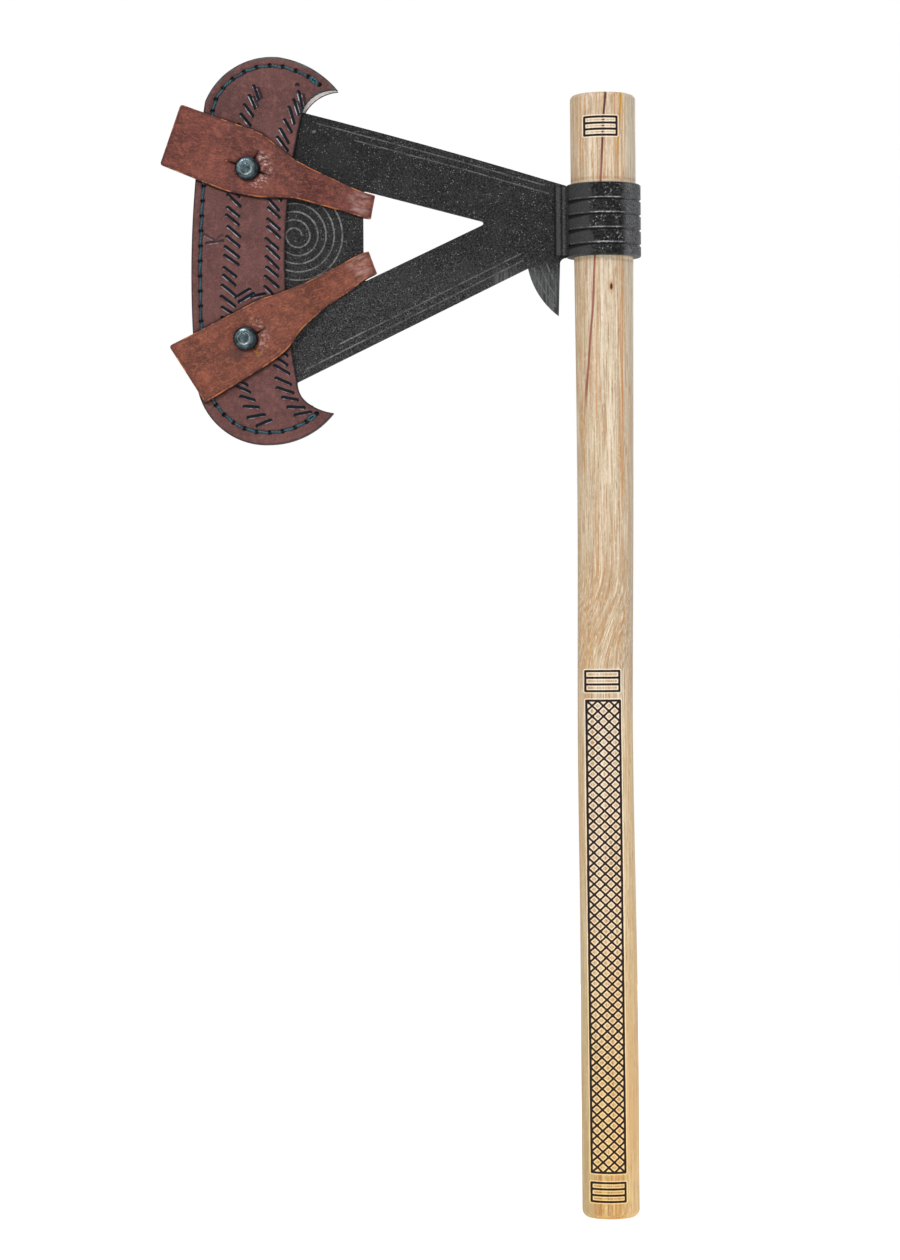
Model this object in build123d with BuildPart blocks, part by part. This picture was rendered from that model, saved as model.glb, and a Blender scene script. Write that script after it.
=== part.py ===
from build123d import *
from math import atan2, cos, radians, sin
import os

# Ornamental one-hand axe with an open A-frame head on a slip-fit socket ring, and a sewn leather
# guard over its cutting edge. Millimetres. The haft stands along +Z with its foot at z = 0, the
# cutting edge faces -X, and the decorated face of the head faces -Y.

# ---- driving dimensions: haft ----
haft_length = 606.6
grip_radius = 15.6
foot_round = 4.0
grip_length = 85.0
waist_radius = 14.95
waist_height = 282.8
shoulder_radius = 15.9
shoulder_height = 502.8
top_radius = 17.7
top_round = 3.0

# ---- driving dimensions: socket ring ----
ring_bottom = 518.8
ring_height = 39.0
ring_radius = 20.2
ring_edge_round = 0.8
eye_bottom_radius = 16.05
eye_top_radius = 17.6
eye_clearance = 0.05
groove_count = 4
groove_pitch = 8.0
groove_start = 6.3
groove_width = 1.8
groove_depth = 0.7
groove_overshoot = 0.1

# ---- driving dimensions: head plate ----
plate_thickness = 3.2
window_edge_x = -130.0
window_corner_round = 1.2
bevel_width = 9.0
edge_land = 0.3
horn_bevel_width = 2.0
grind_back_x = -100.0
engraving_depth = 0.35
engraving_width = 0.9
spiral_centre = (-166.5, 531.9)
spiral_pitch = 4.4
spiral_half_turns = 11
spiral_start_radius = 3.1
blank_edge_x = -225.0
blank_margin = 8.0
root_lower_x = -20.6
root_upper_x = -20.2
root_inner_x = -15.0
bore_margin = 1.0
dimple_radius = 1.1

bead_end_gap = 1.2
bead_toe_x = -27.0
bead_belly = (-24.0, 4.6)
bead_ring_point = (-19.0, 6.9)

# ---- driving dimensions: leather guard ----
leather_thickness = 2.4
blade_clearance = 0.3
welt_width = 8.5
welt_blade_gap = 0.6
stitch_inset = 4.8
lower_horn_inset = 6.6
inset_change_from = 0.66
inset_change_over = 0.12
seam_end = 10.0
stitch_pitch = 8.2
thread_radius = 0.55
thread_hole_radius = 0.65
thread_height = 0.8
hole_gap = 0.15

# ---- driving dimensions: straps ----
strap_thickness = 2.0
strap_width_at_fold = 13.0
strap_flat_at_fold = 5.0
strap_lift = 0.9
upper_fold_bottom = (-129.7, 541.3)
upper_fold_lean = 11.0
lower_fold_bottom = (-126.3, 509.7)
lower_fold_lean = -20.0
ramp_start_x = -147.0
ramp_end_x = -164.0
strap_far_x = -245.0
strap_cut_margin = 1.0
strap_cut_height = 660.0
fold_side_x = -115.0
ramp_round = 18.0
tab_corner_round = 2.0
tail_corner_round = 9.0

# ---- driving dimensions: studs, screws and rivets ----
upper_stud_at = (-191.3, 567.8)
lower_stud_at = (-192.9, 476.0)
stud_radius = 6.3
stud_neck_radius = 5.3
stud_foot_height = 0.6
stud_head_height = 2.8
stud_round = 1.0
stud_ring_radius = 4.0
stud_groove_width = 0.5
stud_groove_depth = 0.3
driver_slot_length = 5.6
driver_slot_width = 1.0
driver_slot_depth = 0.6
button_hole_radius = 6.9
screw_radius = 1.6
screw_head_radius = 4.0
screw_head_height = 0.9
screw_reach = 3.6
rivet_cap_radius = 4.4
rivet_cap_height = 1.5
rivet_post_radius = 1.4
rivet_head_radius = 3.4
rivet_cap_round = 1.1
upper_rivets = ((-181.5, 569.3), (-195.5, 574.3))
lower_rivets = ((-183.0, 481.3), (-196.0, 473.3))
metal_gap = 0.02

# ---- derived dimensions ----
half_plate = plate_thickness / 2
ring_top = ring_bottom + ring_height
panel_inner = half_plate + blade_clearance
panel_outer = panel_inner + leather_thickness
thread_outer = panel_outer + thread_height
strap_low_inner = panel_inner
strap_low_outer = strap_low_inner + strap_thickness
strap_high_inner = panel_outer + strap_lift
strap_high_outer = strap_high_inner + strap_thickness

# ---- outlines, as (x, z) in the plane of the head ----
# Cutting edge from the upper horn tip round to the lower one, one smooth curve.
cutting_edge = (
    (-155.5, 608.0), (-173.0, 610.2), (-190.0, 606.4), (-204.0, 593.3), (-212.0, 567.8),
    (-216.2, 517.8), (-211.5, 467.8), (-203.0, 450.3), (-189.5, 440.1), (-173.0, 437.6), (-157.5, 439.6),
)
upper_horn_back = (-164.0, 598.9)
upper_horn_bow = (-160.3, 604.2)
lower_horn_back = (-168.0, 451.6)
lower_horn_bow = (-163.7, 443.8)
upper_arm_top = (-77.4, 575.0)
upper_neck = (-26.6, 559.7)
lower_arm_end = (-41.0, 513.3)
spike_bow = (-35.6, 499.6)
spike_tip = (-24.6, 487.4)
spike_top = (-23.7, 515.8)
spike_top_bow = (-22.7, 517.9)
window_apex = (-62.8, 538.1)
window_top = (window_edge_x, 556.0)
window_foot = (window_edge_x, 506.5)
engraved_arm_lines = (
    ((-155.2, 592.7), (-77.4, 571.4), (-31.5, 558.1)),
    ((-134.7, 583.3), (-77.4, 567.7), (-29.4, 553.6)),
    ((-161.9, 459.3), (-43.4, 517.7)),
    ((-144.0, 472.7), (-45.0, 521.2)),
)
dimple_at = (-156.3, 588.2)
spike_lines = (
    ((-38.0, 513.8), (-32.8, 501.3), (-26.0, 492.3)),
    ((-34.5, 514.8), (-30.0, 504.3), (-25.5, 497.3)),
    ((-31.0, 515.8), (-28.0, 508.3), (-25.2, 503.3)),
)

# Outer edge of the guard from the upper tip round to the lower one.
guard_outer_arcs = (
    ((-143.0, 609.7), (-160.4, 623.6), (-175.0, 628.2)),
    ((-175.0, 628.2), (-200.5, 622.0), (-215.0, 604.5)),
    ((-215.0, 604.5), (-223.0, 520.0), (-220.8, 453.5)),
    ((-220.8, 453.5), (-205.0, 425.7), (-181.5, 418.8)),
    ((-181.5, 418.8), (-162.0, 423.3), (-146.7, 435.6)),
)
# Mouth of the guard, from the lower tip back up to the upper one.
guard_mouth_arcs = (
    ((-146.7, 435.6), (-154.2, 437.6), (-160.6, 441.2)),
    ((-160.6, 441.2), (-164.8, 446.2), (-166.3, 452.5)),
    ((-166.3, 452.5), (-172.5, 517.8), (-162.6, 597.8)),
    ((-162.6, 597.8), (-157.4, 605.6), (-143.0, 609.7)),
)
blade_sweep_low = 436.6
blade_sweep_high = 611.0
blade_sweep_back_x = -185.0
blade_sweep_mouth_x = -140.0

# Front legs of the straps beyond the fold: the upper side, then the lower side, both away from it.
upper_tab_top = ((-158.7, 568.1), (-168.5, 573.6), (-185.9, 585.6), (-227.8, 602.5))
upper_tab_bottom = ((-239.2, 569.9), (-203.3, 555.5), (-186.0, 552.2), (-168.0, 552.0), (-141.0, 544.8))
lower_tab_top = ((-161.4, 506.0), (-175.0, 500.7), (-186.5, 497.2), (-235.1, 472.1))
lower_tab_bottom = (
    (-215.9, 441.5), (-182.2, 461.9), (-171.5, 469.4), (-164.3, 480.3), (-150.0, 493.8), (-137.0, 501.8),
)
upper_tail_top = ((-160.0, 568.3), (-197.0, 582.8))
upper_tail_bottom = ((-203.5, 560.8), (-168.0, 550.8))
lower_tail_top = ((-160.0, 505.8), (-197.5, 484.8))
lower_tail_bottom = ((-205.0, 464.3), (-168.0, 475.8))


def front_plane(depth):
    """Plane of the decorated face, y = -depth, with x to the right, z up and its normal to -Y."""
    return Plane(origin=(0, -depth, 0), x_dir=(1, 0, 0), z_dir=(0, -1, 0))


def back_plane(depth):
    """The same plane on the far side, y = +depth, still with x to the right and z up."""
    return Plane(origin=(0, depth, 0), x_dir=(1, 0, 0), z_dir=(0, -1, 0))


def fold_frame(bottom, lean):
    """Directions along a strap's fold line and away from it, towards the cutting edge."""
    along = Vector(sin(radians(lean)), 0, cos(radians(lean)))
    away = Vector(-cos(radians(lean)), 0, sin(radians(lean)))
    start = Vector(bottom[0], 0, bottom[1])
    return start, along, away


os.makedirs("parts", exist_ok=True)

# ---- haft: turned wood, slips into the ring from above ----
with BuildPart() as haft:
    with BuildSketch(Plane.XZ):
        with BuildLine():
            Line((0, 0), (grip_radius - foot_round, 0))
            foot_bend = foot_round * (1 - cos(radians(45)))
            ThreePointArc(
                (grip_radius - foot_round, 0),
                (grip_radius - foot_bend, foot_bend),
                (grip_radius, foot_round),
            )
            Line((grip_radius, foot_round), (grip_radius, foot_round + grip_length))
            ThreePointArc(
                (grip_radius, foot_round + grip_length),
                (waist_radius, waist_height),
                (shoulder_radius, shoulder_height),
            )
            Line((shoulder_radius, shoulder_height), (eye_bottom_radius, ring_bottom))
            Line((eye_bottom_radius, ring_bottom), (eye_top_radius, ring_top))
            Line((eye_top_radius, ring_top), (top_radius, haft_length - top_round))
            top_bend = top_round * (1 - cos(radians(45)))
            ThreePointArc(
                (top_radius, haft_length - top_round),
                (top_radius - top_bend, haft_length - top_bend),
                (top_radius - top_round, haft_length),
            )
            Line((top_radius - top_round, haft_length), (0, haft_length))
            Line((0, haft_length), (0, 0))
        make_face()
    revolve(axis=Axis.Z)
haft.part.label = "haft"
export_step(haft.part, "parts/haft.step")

# ---- socket ring: conical bore, grooved outside ----
with BuildPart() as socket_ring:
    with BuildSketch(Plane.XZ):
        with BuildLine():
            Polyline(
                (eye_bottom_radius + eye_clearance, ring_bottom),
                (ring_radius, ring_bottom),
                (ring_radius, ring_top),
                (eye_top_radius + eye_clearance, ring_top),
                close=True,
            )
        make_face()
    revolve(axis=Axis.Z)
    outer_rims = socket_ring.edges().filter_by(GeomType.CIRCLE).filter_by(
        lambda edge: abs(edge.radius - ring_radius) < 0.01
    )
    fillet(outer_rims, ring_edge_round)
    for groove in range(groove_count):
        groove_z = ring_bottom + groove_start + groove * groove_pitch
        with BuildSketch(Plane.XZ):
            with BuildLine():
                ThreePointArc(
                    (ring_radius + groove_overshoot, groove_z - groove_width / 2),
                    (ring_radius - groove_depth, groove_z),
                    (ring_radius + groove_overshoot, groove_z + groove_width / 2),
                )
                Line(
                    (ring_radius + groove_overshoot, groove_z + groove_width / 2),
                    (ring_radius + groove_overshoot, groove_z - groove_width / 2),
                )
            make_face()
        revolve(axis=Axis.Z, mode=Mode.SUBTRACT)
socket_ring.part.label = "socket_ring"
export_step(socket_ring.part, "parts/socket_ring.step")

# ---- head plate: crescent blade, two arms round a window, neck and spike ----
def moved_edge(width, horn_width):
    """The cutting edge moved into the steel by a width, or by a horn width at its two tips."""
    moved = []
    last = len(cutting_edge) - 1
    for index, (x, z) in enumerate(cutting_edge):
        before = cutting_edge[max(index - 1, 0)]
        after = cutting_edge[min(index + 1, last)]
        heading = atan2(after[1] - before[1], after[0] - before[0])
        reach = horn_width if index in (0, last) else width
        moved.append((x - reach * sin(heading), z + reach * cos(heading)))
    return moved


def grind_outline(points):
    """Closed outline of a cutting edge and a straight back well inside the head."""
    with BuildLine() as outline:
        Spline(*points)
        Polyline(points[-1], (grind_back_x, points[-1][1]), (grind_back_x, points[0][1]), points[0])
    return outline.edges()


with BuildPart() as grind:
    with BuildSketch(front_plane(edge_land / 2)):
        make_face(grind_outline(cutting_edge))
    with BuildSketch(front_plane(half_plate)):
        make_face(grind_outline(moved_edge(bevel_width, horn_bevel_width)))
    loft(ruled=True)
    mirror(about=Plane.XZ)
    with BuildSketch(front_plane(-edge_land / 2)):
        make_face(grind_outline(cutting_edge))
    extrude(amount=edge_land)

with BuildPart() as head_plate:
    with BuildSketch(front_plane(-half_plate)):
        with BuildLine():
            Polyline(
                cutting_edge[-1],
                (blank_edge_x, cutting_edge[-1][1] - blank_margin),
                (blank_edge_x, cutting_edge[0][1] + blank_margin),
                cutting_edge[0],
            )
            ThreePointArc(cutting_edge[-1], lower_horn_bow, lower_horn_back)
            Line(lower_horn_back, lower_arm_end)
            ThreePointArc(lower_arm_end, spike_bow, spike_tip)
            Line(spike_tip, spike_top)
            ThreePointArc(spike_top, spike_top_bow, (root_lower_x, ring_bottom))
            Polyline(
                (root_lower_x, ring_bottom),
                (root_inner_x, ring_bottom),
                (root_inner_x, ring_top),
                (root_upper_x, ring_top),
                upper_neck,
            )
            ThreePointArc(upper_neck, upper_arm_top, upper_horn_back)
            ThreePointArc(upper_horn_back, upper_horn_bow, cutting_edge[0])
        make_face()
    extrude(amount=plate_thickness)
    with BuildSketch(front_plane(-half_plate)):
        with BuildLine():
            Polyline(window_top, window_apex, window_foot, close=True)
        window_face = make_face()
        fillet(window_face.vertices(), window_corner_round)
    extrude(amount=plate_thickness, mode=Mode.SUBTRACT)
    with BuildSketch(Plane.XY.offset(ring_bottom - bore_margin)):
        Circle(ring_radius + metal_gap)
    extrude(amount=ring_height + 2 * bore_margin, mode=Mode.SUBTRACT)
    # The whole head is ground to the shape of the cutting edge's two bevels.
    with BuildSketch(front_plane(-half_plate)):
        with BuildLine():
            Polyline(
                (grind_back_x, cutting_edge[0][1]),
                (grind_back_x, cutting_edge[-1][1]),
                (blank_edge_x, cutting_edge[-1][1] - 2 * blank_margin),
                (blank_edge_x, cutting_edge[0][1] + 2 * blank_margin),
                close=True,
            )
        make_face()
    ground = extrude(amount=plate_thickness, mode=Mode.PRIVATE) - grind.part
    add(ground, mode=Mode.SUBTRACT)
    # Engraved lines and a dimple on both faces.
    for face_plane in (front_plane(half_plate - engraving_depth), back_plane(half_plate)):
        with BuildSketch(face_plane):
            with BuildLine():
                for line_points in engraved_arm_lines:
                    Polyline(*line_points)
                for left_point, middle, right_point in spike_lines:
                    ThreePointArc(left_point, middle, right_point)
            trace(line_width=engraving_width)
        extrude(amount=engraving_depth, mode=Mode.SUBTRACT)
        with BuildSketch(face_plane):
            with BuildLine():
                for half_turn in range(spiral_half_turns):
                    side = -1 if half_turn % 2 else 1
                    near = spiral_start_radius + half_turn * spiral_pitch / 2
                    far = near + spiral_pitch / 2
                    centre_x = spiral_centre[0] - side * spiral_pitch / 4
                    ThreePointArc(
                        (spiral_centre[0] + side * near, spiral_centre[1]),
                        (centre_x, spiral_centre[1] + side * (near + far) / 2),
                        (spiral_centre[0] - side * far, spiral_centre[1]),
                    )
            trace(line_width=engraving_width)
        extrude(amount=engraving_depth, mode=Mode.SUBTRACT)
        with BuildSketch(face_plane):
            with Locations(dimple_at):
                Circle(dimple_radius)
        extrude(amount=engraving_depth, mode=Mode.SUBTRACT)
head_plate.part.label = "head_plate"
export_step(head_plate.part, "parts/head_plate.step")

# ---- weld beads: fill the corners between the plate's root and the ring, front and back ----
for bead_name, side in (("neck_weld_front", -1), ("neck_weld_back", 1)):
    with BuildPart() as neck_weld:
        with BuildSketch(Plane.XY.offset(ring_bottom + bead_end_gap)):
            with BuildLine():
                ThreePointArc(
                    (bead_toe_x, side * half_plate),
                    (bead_belly[0], side * bead_belly[1]),
                    (bead_ring_point[0], side * bead_ring_point[1]),
                )
                Polyline(
                    (bead_ring_point[0], side * bead_ring_point[1]),
                    (bead_ring_point[0], side * half_plate),
                    (bead_toe_x, side * half_plate),
                )
            make_face()
            Circle(ring_radius + metal_gap, mode=Mode.SUBTRACT)
        extrude(amount=ring_height - 2 * bead_end_gap)
    neck_weld.part.label = bead_name
    export_step(neck_weld.part, f"parts/{bead_name}.step")


# ---- leather guard: two panels, a welt between them, thread, screws and studs ----
def guard_outline():
    """Closed outline of one guard panel."""
    with BuildLine() as outline:
        for start, middle, end in guard_outer_arcs + guard_mouth_arcs:
            ThreePointArc(start, middle, end)
    return outline.edges()


with BuildLine() as guard_outer_edge:
    for start, middle, end in guard_outer_arcs:
        ThreePointArc(start, middle, end)
seam_edge = guard_outer_edge.wires()[0]
seam_length = seam_edge.length - 2 * seam_end
stitch_count = round(seam_length / stitch_pitch)
stitch_points = []
for stitch in range(stitch_count + 1):
    along_edge = (seam_end + seam_length * stitch / stitch_count) / seam_edge.length
    edge_point = seam_edge.position_at(along_edge)
    edge_heading = seam_edge.tangent_at(along_edge)
    towards_lower_horn = max(0.0, min(1.0, (along_edge - inset_change_from) / inset_change_over))
    inset = stitch_inset + (lower_horn_inset - stitch_inset) * towards_lower_horn
    stitch_points.append(
        (edge_point.X - edge_heading.Y * inset, edge_point.Y + edge_heading.X * inset)
    )

for panel_name, panel_plane, recess_plane, fixings in (
    (
        "sheath_front_panel", front_plane(panel_inner), front_plane(panel_inner),
        (upper_stud_at, lower_stud_at),
    ),
    (
        "sheath_back_panel", back_plane(panel_outer), back_plane(panel_inner + screw_head_height),
        upper_rivets + lower_rivets,
    ),
):
    with BuildPart() as panel:
        with BuildSketch(panel_plane):
            make_face(guard_outline())
            with Locations(*stitch_points):
                Circle(thread_hole_radius, mode=Mode.SUBTRACT)
            with Locations(*fixings):
                Circle(screw_radius + metal_gap, mode=Mode.SUBTRACT)
        extrude(amount=leather_thickness)
        # Recesses that keep the screw and rivet heads below the inner face.
        with BuildSketch(recess_plane):
            with Locations(*fixings):
                Circle(screw_head_radius + metal_gap)
        extrude(amount=screw_head_height, mode=Mode.SUBTRACT)
    panel.part.label = panel_name
    export_step(panel.part, f"parts/{panel_name}.step")

with BuildPart() as sheath_welt:
    with BuildSketch(back_plane(panel_inner - metal_gap)):
        make_face(guard_outline())
        with BuildSketch(mode=Mode.SUBTRACT):
            make_face(guard_outline())
            offset(amount=-welt_width)
        make_face(grind_outline(moved_edge(-welt_blade_gap, -welt_blade_gap)), mode=Mode.SUBTRACT)
        with BuildLine():
            Polyline(
                (blade_sweep_back_x, blade_sweep_low),
                (blade_sweep_mouth_x, blade_sweep_low),
                (blade_sweep_mouth_x, blade_sweep_high),
                (blade_sweep_back_x, blade_sweep_high),
                close=True,
            )
        make_face(mode=Mode.SUBTRACT)
        with Locations(*stitch_points):
            Circle(thread_hole_radius, mode=Mode.SUBTRACT)
    extrude(amount=2 * (panel_inner - metal_gap))
sheath_welt.part.label = "sheath_welt"
export_step(sheath_welt.part, "parts/sheath_welt.step")

# Each stitch is one length of thread: down its hole, and along both faces to the next hole.
with BuildPart() as sheath_stitching:
    with BuildSketch(front_plane(-thread_outer)):
        with Locations(*stitch_points):
            Circle(thread_radius)
    extrude(amount=2 * thread_outer)
    for face_plane in (front_plane(panel_outer), back_plane(thread_outer)):
        with BuildSketch(face_plane):
            with BuildLine():
                for here, there in zip(stitch_points, stitch_points[1:]):
                    step_x = there[0] - here[0]
                    step_z = there[1] - here[1]
                    reach = 1 - (2 * thread_radius + hole_gap) / (step_x**2 + step_z**2) ** 0.5
                    Line(here, (here[0] + step_x * reach, here[1] + step_z * reach))
            trace(line_width=2 * thread_radius)
        extrude(amount=thread_height)
sheath_stitching.part.label = "sheath_stitching"
export_step(sheath_stitching.part, "parts/sheath_stitching.step")

# ---- studs and their screws ----
for stud_name, (stud_x, stud_z) in (("upper_stud", upper_stud_at), ("lower_stud", lower_stud_at)):
    neck_top = strap_high_outer + strap_lift / 2
    with BuildPart() as stud:
        with BuildSketch(front_plane(panel_outer)):
            with Locations((stud_x, stud_z)):
                Circle(stud_radius)
        extrude(amount=stud_foot_height)
        with BuildSketch(front_plane(panel_outer + stud_foot_height)):
            with Locations((stud_x, stud_z)):
                Circle(stud_neck_radius)
        extrude(amount=neck_top - panel_outer - stud_foot_height)
        with BuildSketch(front_plane(neck_top)):
            with Locations((stud_x, stud_z)):
                Circle(stud_radius)
        extrude(amount=stud_head_height)
        fillet(stud.faces().sort_by(Axis.Y)[0].edges(), stud_round)
        with BuildSketch(front_plane(neck_top + stud_head_height - stud_groove_depth)):
            with Locations((stud_x, stud_z)):
                Circle(stud_ring_radius + stud_groove_width)
                Circle(stud_ring_radius, mode=Mode.SUBTRACT)
        extrude(amount=stud_groove_depth, mode=Mode.SUBTRACT)
        with BuildSketch(front_plane(panel_outer)):
            with Locations((stud_x, stud_z)):
                Circle(screw_radius + metal_gap)
        extrude(amount=screw_reach, mode=Mode.SUBTRACT)
    stud.part.label = stud_name
    export_step(stud.part, f"parts/{stud_name}.step")

    with BuildPart() as stud_screw:
        with BuildSketch(front_plane(panel_inner)):
            with Locations((stud_x, stud_z)):
                Circle(screw_head_radius)
        extrude(amount=screw_head_height - metal_gap)
        with BuildSketch(front_plane(panel_inner)):
            with Locations((stud_x, stud_z)):
                Circle(screw_radius)
        extrude(amount=panel_outer - panel_inner + screw_reach - metal_gap)
        with BuildSketch(front_plane(panel_inner)):
            with Locations((stud_x, stud_z)):
                Rectangle(driver_slot_length, driver_slot_width)
        extrude(amount=driver_slot_depth, mode=Mode.SUBTRACT)
    stud_screw.part.label = f"{stud_name}_screw"
    export_step(stud_screw.part, f"parts/{stud_name}_screw.step")


# ---- retaining straps: a tab in front, a bend round the window's edge, a tail at the back ----
def band_profile(side, inner_low, inner_high):
    """Centre line of a strap seen from above, level near the fold and raised over the guard."""
    low = side * (inner_low + strap_thickness / 2)
    high = side * (inner_high + strap_thickness / 2)
    with BuildLine() as band:
        FilletPolyline(
            (fold_side_x, low),
            (ramp_start_x, low),
            (ramp_end_x, high),
            (strap_far_x, high),
            radius=ramp_round,
        )
    return band.line


for side_name, fold_bottom, lean, tab_top, tab_bottom, tail_top, tail_bottom, stud_at, rivets in (
    (
        "upper", upper_fold_bottom, upper_fold_lean, upper_tab_top, upper_tab_bottom,
        upper_tail_top, upper_tail_bottom, upper_stud_at, upper_rivets,
    ),
    (
        "lower", lower_fold_bottom, lower_fold_lean, lower_tab_top, lower_tab_bottom,
        lower_tail_top, lower_tail_bottom, lower_stud_at, lower_rivets,
    ),
):
    fold_start, along, away = fold_frame(fold_bottom, lean)
    fold_end = fold_start + along * strap_width_at_fold
    flat_start = fold_start + away * strap_flat_at_fold
    flat_end = fold_end + away * strap_flat_at_fold
    middle_radius = (strap_low_inner + strap_low_outer) / 2

    with BuildPart() as strap_bend:
        with BuildSketch(Plane(origin=fold_start, x_dir=away, z_dir=along)):
            with BuildLine():
                Line((strap_flat_at_fold, middle_radius), (0, middle_radius))
                ThreePointArc((0, middle_radius), (-middle_radius, 0), (0, -middle_radius))
            trace(line_width=strap_thickness)
        extrude(amount=strap_width_at_fold)
    strap_bend.part.label = f"{side_name}_strap_bend"
    export_step(strap_bend.part, f"parts/{side_name}_strap_bend.step")

    with BuildPart() as strap_tab:
        with BuildSketch(front_plane(0)):
            with BuildLine():
                Polyline((flat_end.X, flat_end.Z), *tab_top, *tab_bottom, (flat_start.X, flat_start.Z),
                         close=True)
            tab_face = make_face()
            tab_corners = tab_face.vertices().sort_by(Axis.X)[:2]
            fillet(tab_corners, tab_corner_round)
            with Locations(stud_at):
                Circle(button_hole_radius, mode=Mode.SUBTRACT)
        extrude(amount=strap_high_outer + strap_cut_margin)
        with BuildSketch(Plane.XY):
            trace(band_profile(-1, strap_low_inner, strap_high_inner), line_width=strap_thickness)
        extrude(amount=strap_cut_height, mode=Mode.INTERSECT)
    strap_tab.part.label = f"{side_name}_strap_tab"
    export_step(strap_tab.part, f"parts/{side_name}_strap_tab.step")

    with BuildPart() as strap_tail:
        with BuildSketch(back_plane(0)):
            with BuildLine():
                Polyline((fold_end.X, fold_end.Z), *tail_top, *tail_bottom, (fold_start.X, fold_start.Z),
                         close=True)
            tail_face = make_face()
            tail_corners = tail_face.vertices().sort_by(Axis.X)[:2]
            fillet(tail_corners, tail_corner_round)
            with Locations(*rivets):
                Circle(rivet_post_radius + metal_gap, mode=Mode.SUBTRACT)
        extrude(amount=-strap_high_outer - strap_cut_margin)
        with BuildSketch(Plane.XY):
            trace(band_profile(1, strap_low_inner, panel_outer), line_width=strap_thickness)
        extrude(amount=strap_cut_height, mode=Mode.INTERSECT)
    strap_tail.part.label = f"{side_name}_strap_tail"
    export_step(strap_tail.part, f"parts/{side_name}_strap_tail.step")

# ---- rivets that hold the tails to the back panel: domed caps outside, posts from inside ----
tail_outer = panel_outer + strap_thickness
with BuildPart() as tail_rivet_caps:
    with BuildSketch(back_plane(tail_outer + rivet_cap_height)):
        with Locations(*upper_rivets, *lower_rivets):
            Circle(rivet_cap_radius)
    extrude(amount=rivet_cap_height)
    fillet(tail_rivet_caps.faces().group_by(Axis.Y)[-1].edges(), rivet_cap_round)
tail_rivet_caps.part.label = "tail_rivet_caps"
export_step(tail_rivet_caps.part, "parts/tail_rivet_caps.step")

with BuildPart() as tail_rivet_posts:
    with BuildSketch(back_plane(panel_inner + screw_head_height - metal_gap)):
        with Locations(*upper_rivets, *lower_rivets):
            Circle(rivet_head_radius)
    extrude(amount=screw_head_height - metal_gap)
    with BuildSketch(back_plane(tail_outer)):
        with Locations(*upper_rivets, *lower_rivets):
            Circle(rivet_post_radius)
    extrude(amount=tail_outer - panel_inner)
tail_rivet_posts.part.label = "tail_rivet_posts"
export_step(tail_rivet_posts.part, "parts/tail_rivet_posts.step")
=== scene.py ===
import math
import random

import bpy
import numpy as np
from mathutils.geometry import delaunay_2d_cdt
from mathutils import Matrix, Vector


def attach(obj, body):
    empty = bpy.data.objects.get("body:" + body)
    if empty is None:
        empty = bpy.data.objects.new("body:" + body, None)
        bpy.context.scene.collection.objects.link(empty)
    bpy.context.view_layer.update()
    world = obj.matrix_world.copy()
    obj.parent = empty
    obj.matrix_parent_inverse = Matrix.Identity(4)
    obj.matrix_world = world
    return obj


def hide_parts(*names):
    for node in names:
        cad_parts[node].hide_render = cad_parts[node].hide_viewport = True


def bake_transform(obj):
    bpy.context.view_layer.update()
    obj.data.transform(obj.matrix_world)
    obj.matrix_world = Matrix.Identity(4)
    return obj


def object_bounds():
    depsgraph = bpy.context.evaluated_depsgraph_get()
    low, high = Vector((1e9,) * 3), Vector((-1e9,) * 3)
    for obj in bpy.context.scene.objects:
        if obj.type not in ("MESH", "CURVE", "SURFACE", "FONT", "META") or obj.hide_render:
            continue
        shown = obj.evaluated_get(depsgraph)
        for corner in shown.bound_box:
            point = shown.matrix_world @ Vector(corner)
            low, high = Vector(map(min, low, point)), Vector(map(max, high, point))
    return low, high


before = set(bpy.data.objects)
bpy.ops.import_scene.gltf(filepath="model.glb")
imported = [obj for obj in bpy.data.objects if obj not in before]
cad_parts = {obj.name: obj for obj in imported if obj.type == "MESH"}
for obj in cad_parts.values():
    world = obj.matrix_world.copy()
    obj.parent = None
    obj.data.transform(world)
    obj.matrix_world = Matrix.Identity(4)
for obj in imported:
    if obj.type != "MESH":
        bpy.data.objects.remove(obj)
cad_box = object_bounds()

# Looks of an ornamental one-hand axe with a sewn leather guard. Outlines and sizes are in
# millimetres, as (x, z) in the plane of the head, and meshes are scaled to metres when they are made.
MM = 0.001
FAR = 1e9
chance = random.Random(7)

# ---- sizes that the CAD model also has ----
GRIP_RADIUS, WAIST_RADIUS, SHOULDER_RADIUS = 15.6, 14.95, 15.9
GRIP_TOP, WAIST_HEIGHT, SHOULDER_HEIGHT = 89.0, 282.8, 502.8
FOOT_ROUND, TOP_ROUND = 4.0, 3.0
FIRST_GROOVE, GROOVE_PITCH, GROOVES_HALF = 525.1, 8.0, 13.8
GROOVES_MIDDLE = FIRST_GROOVE + 1.5 * GROOVE_PITCH
EYE_BOTTOM, EYE_BOTTOM_RADIUS = 518.8, 16.05
EYE_TOP, EYE_TOP_RADIUS = 557.8, 17.6
TOP_RADIUS, HAFT_LENGTH = 17.7, 606.6
PANEL_INNER, PANEL_OUTER = 1.9, 4.3
STITCH_INSET, LOWER_HORN_INSET = 4.8, 6.6
INSET_CHANGE_FROM, INSET_CHANGE_OVER = 0.66, 0.12
UPPER_SEAM_END, LOWER_SEAM_END, STITCH_PITCH = 10.0, 7.0, 8.2
STRAP_THICKNESS, STRAP_WIDTH = 2.0, 13.0
STRAP_LOW_MIDDLE, TAB_HIGH_MIDDLE, TAIL_HIGH_MIDDLE = 2.9, 6.2, 5.3
RAMP_START_X, RAMP_END_X = -147.0, -164.0

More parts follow.
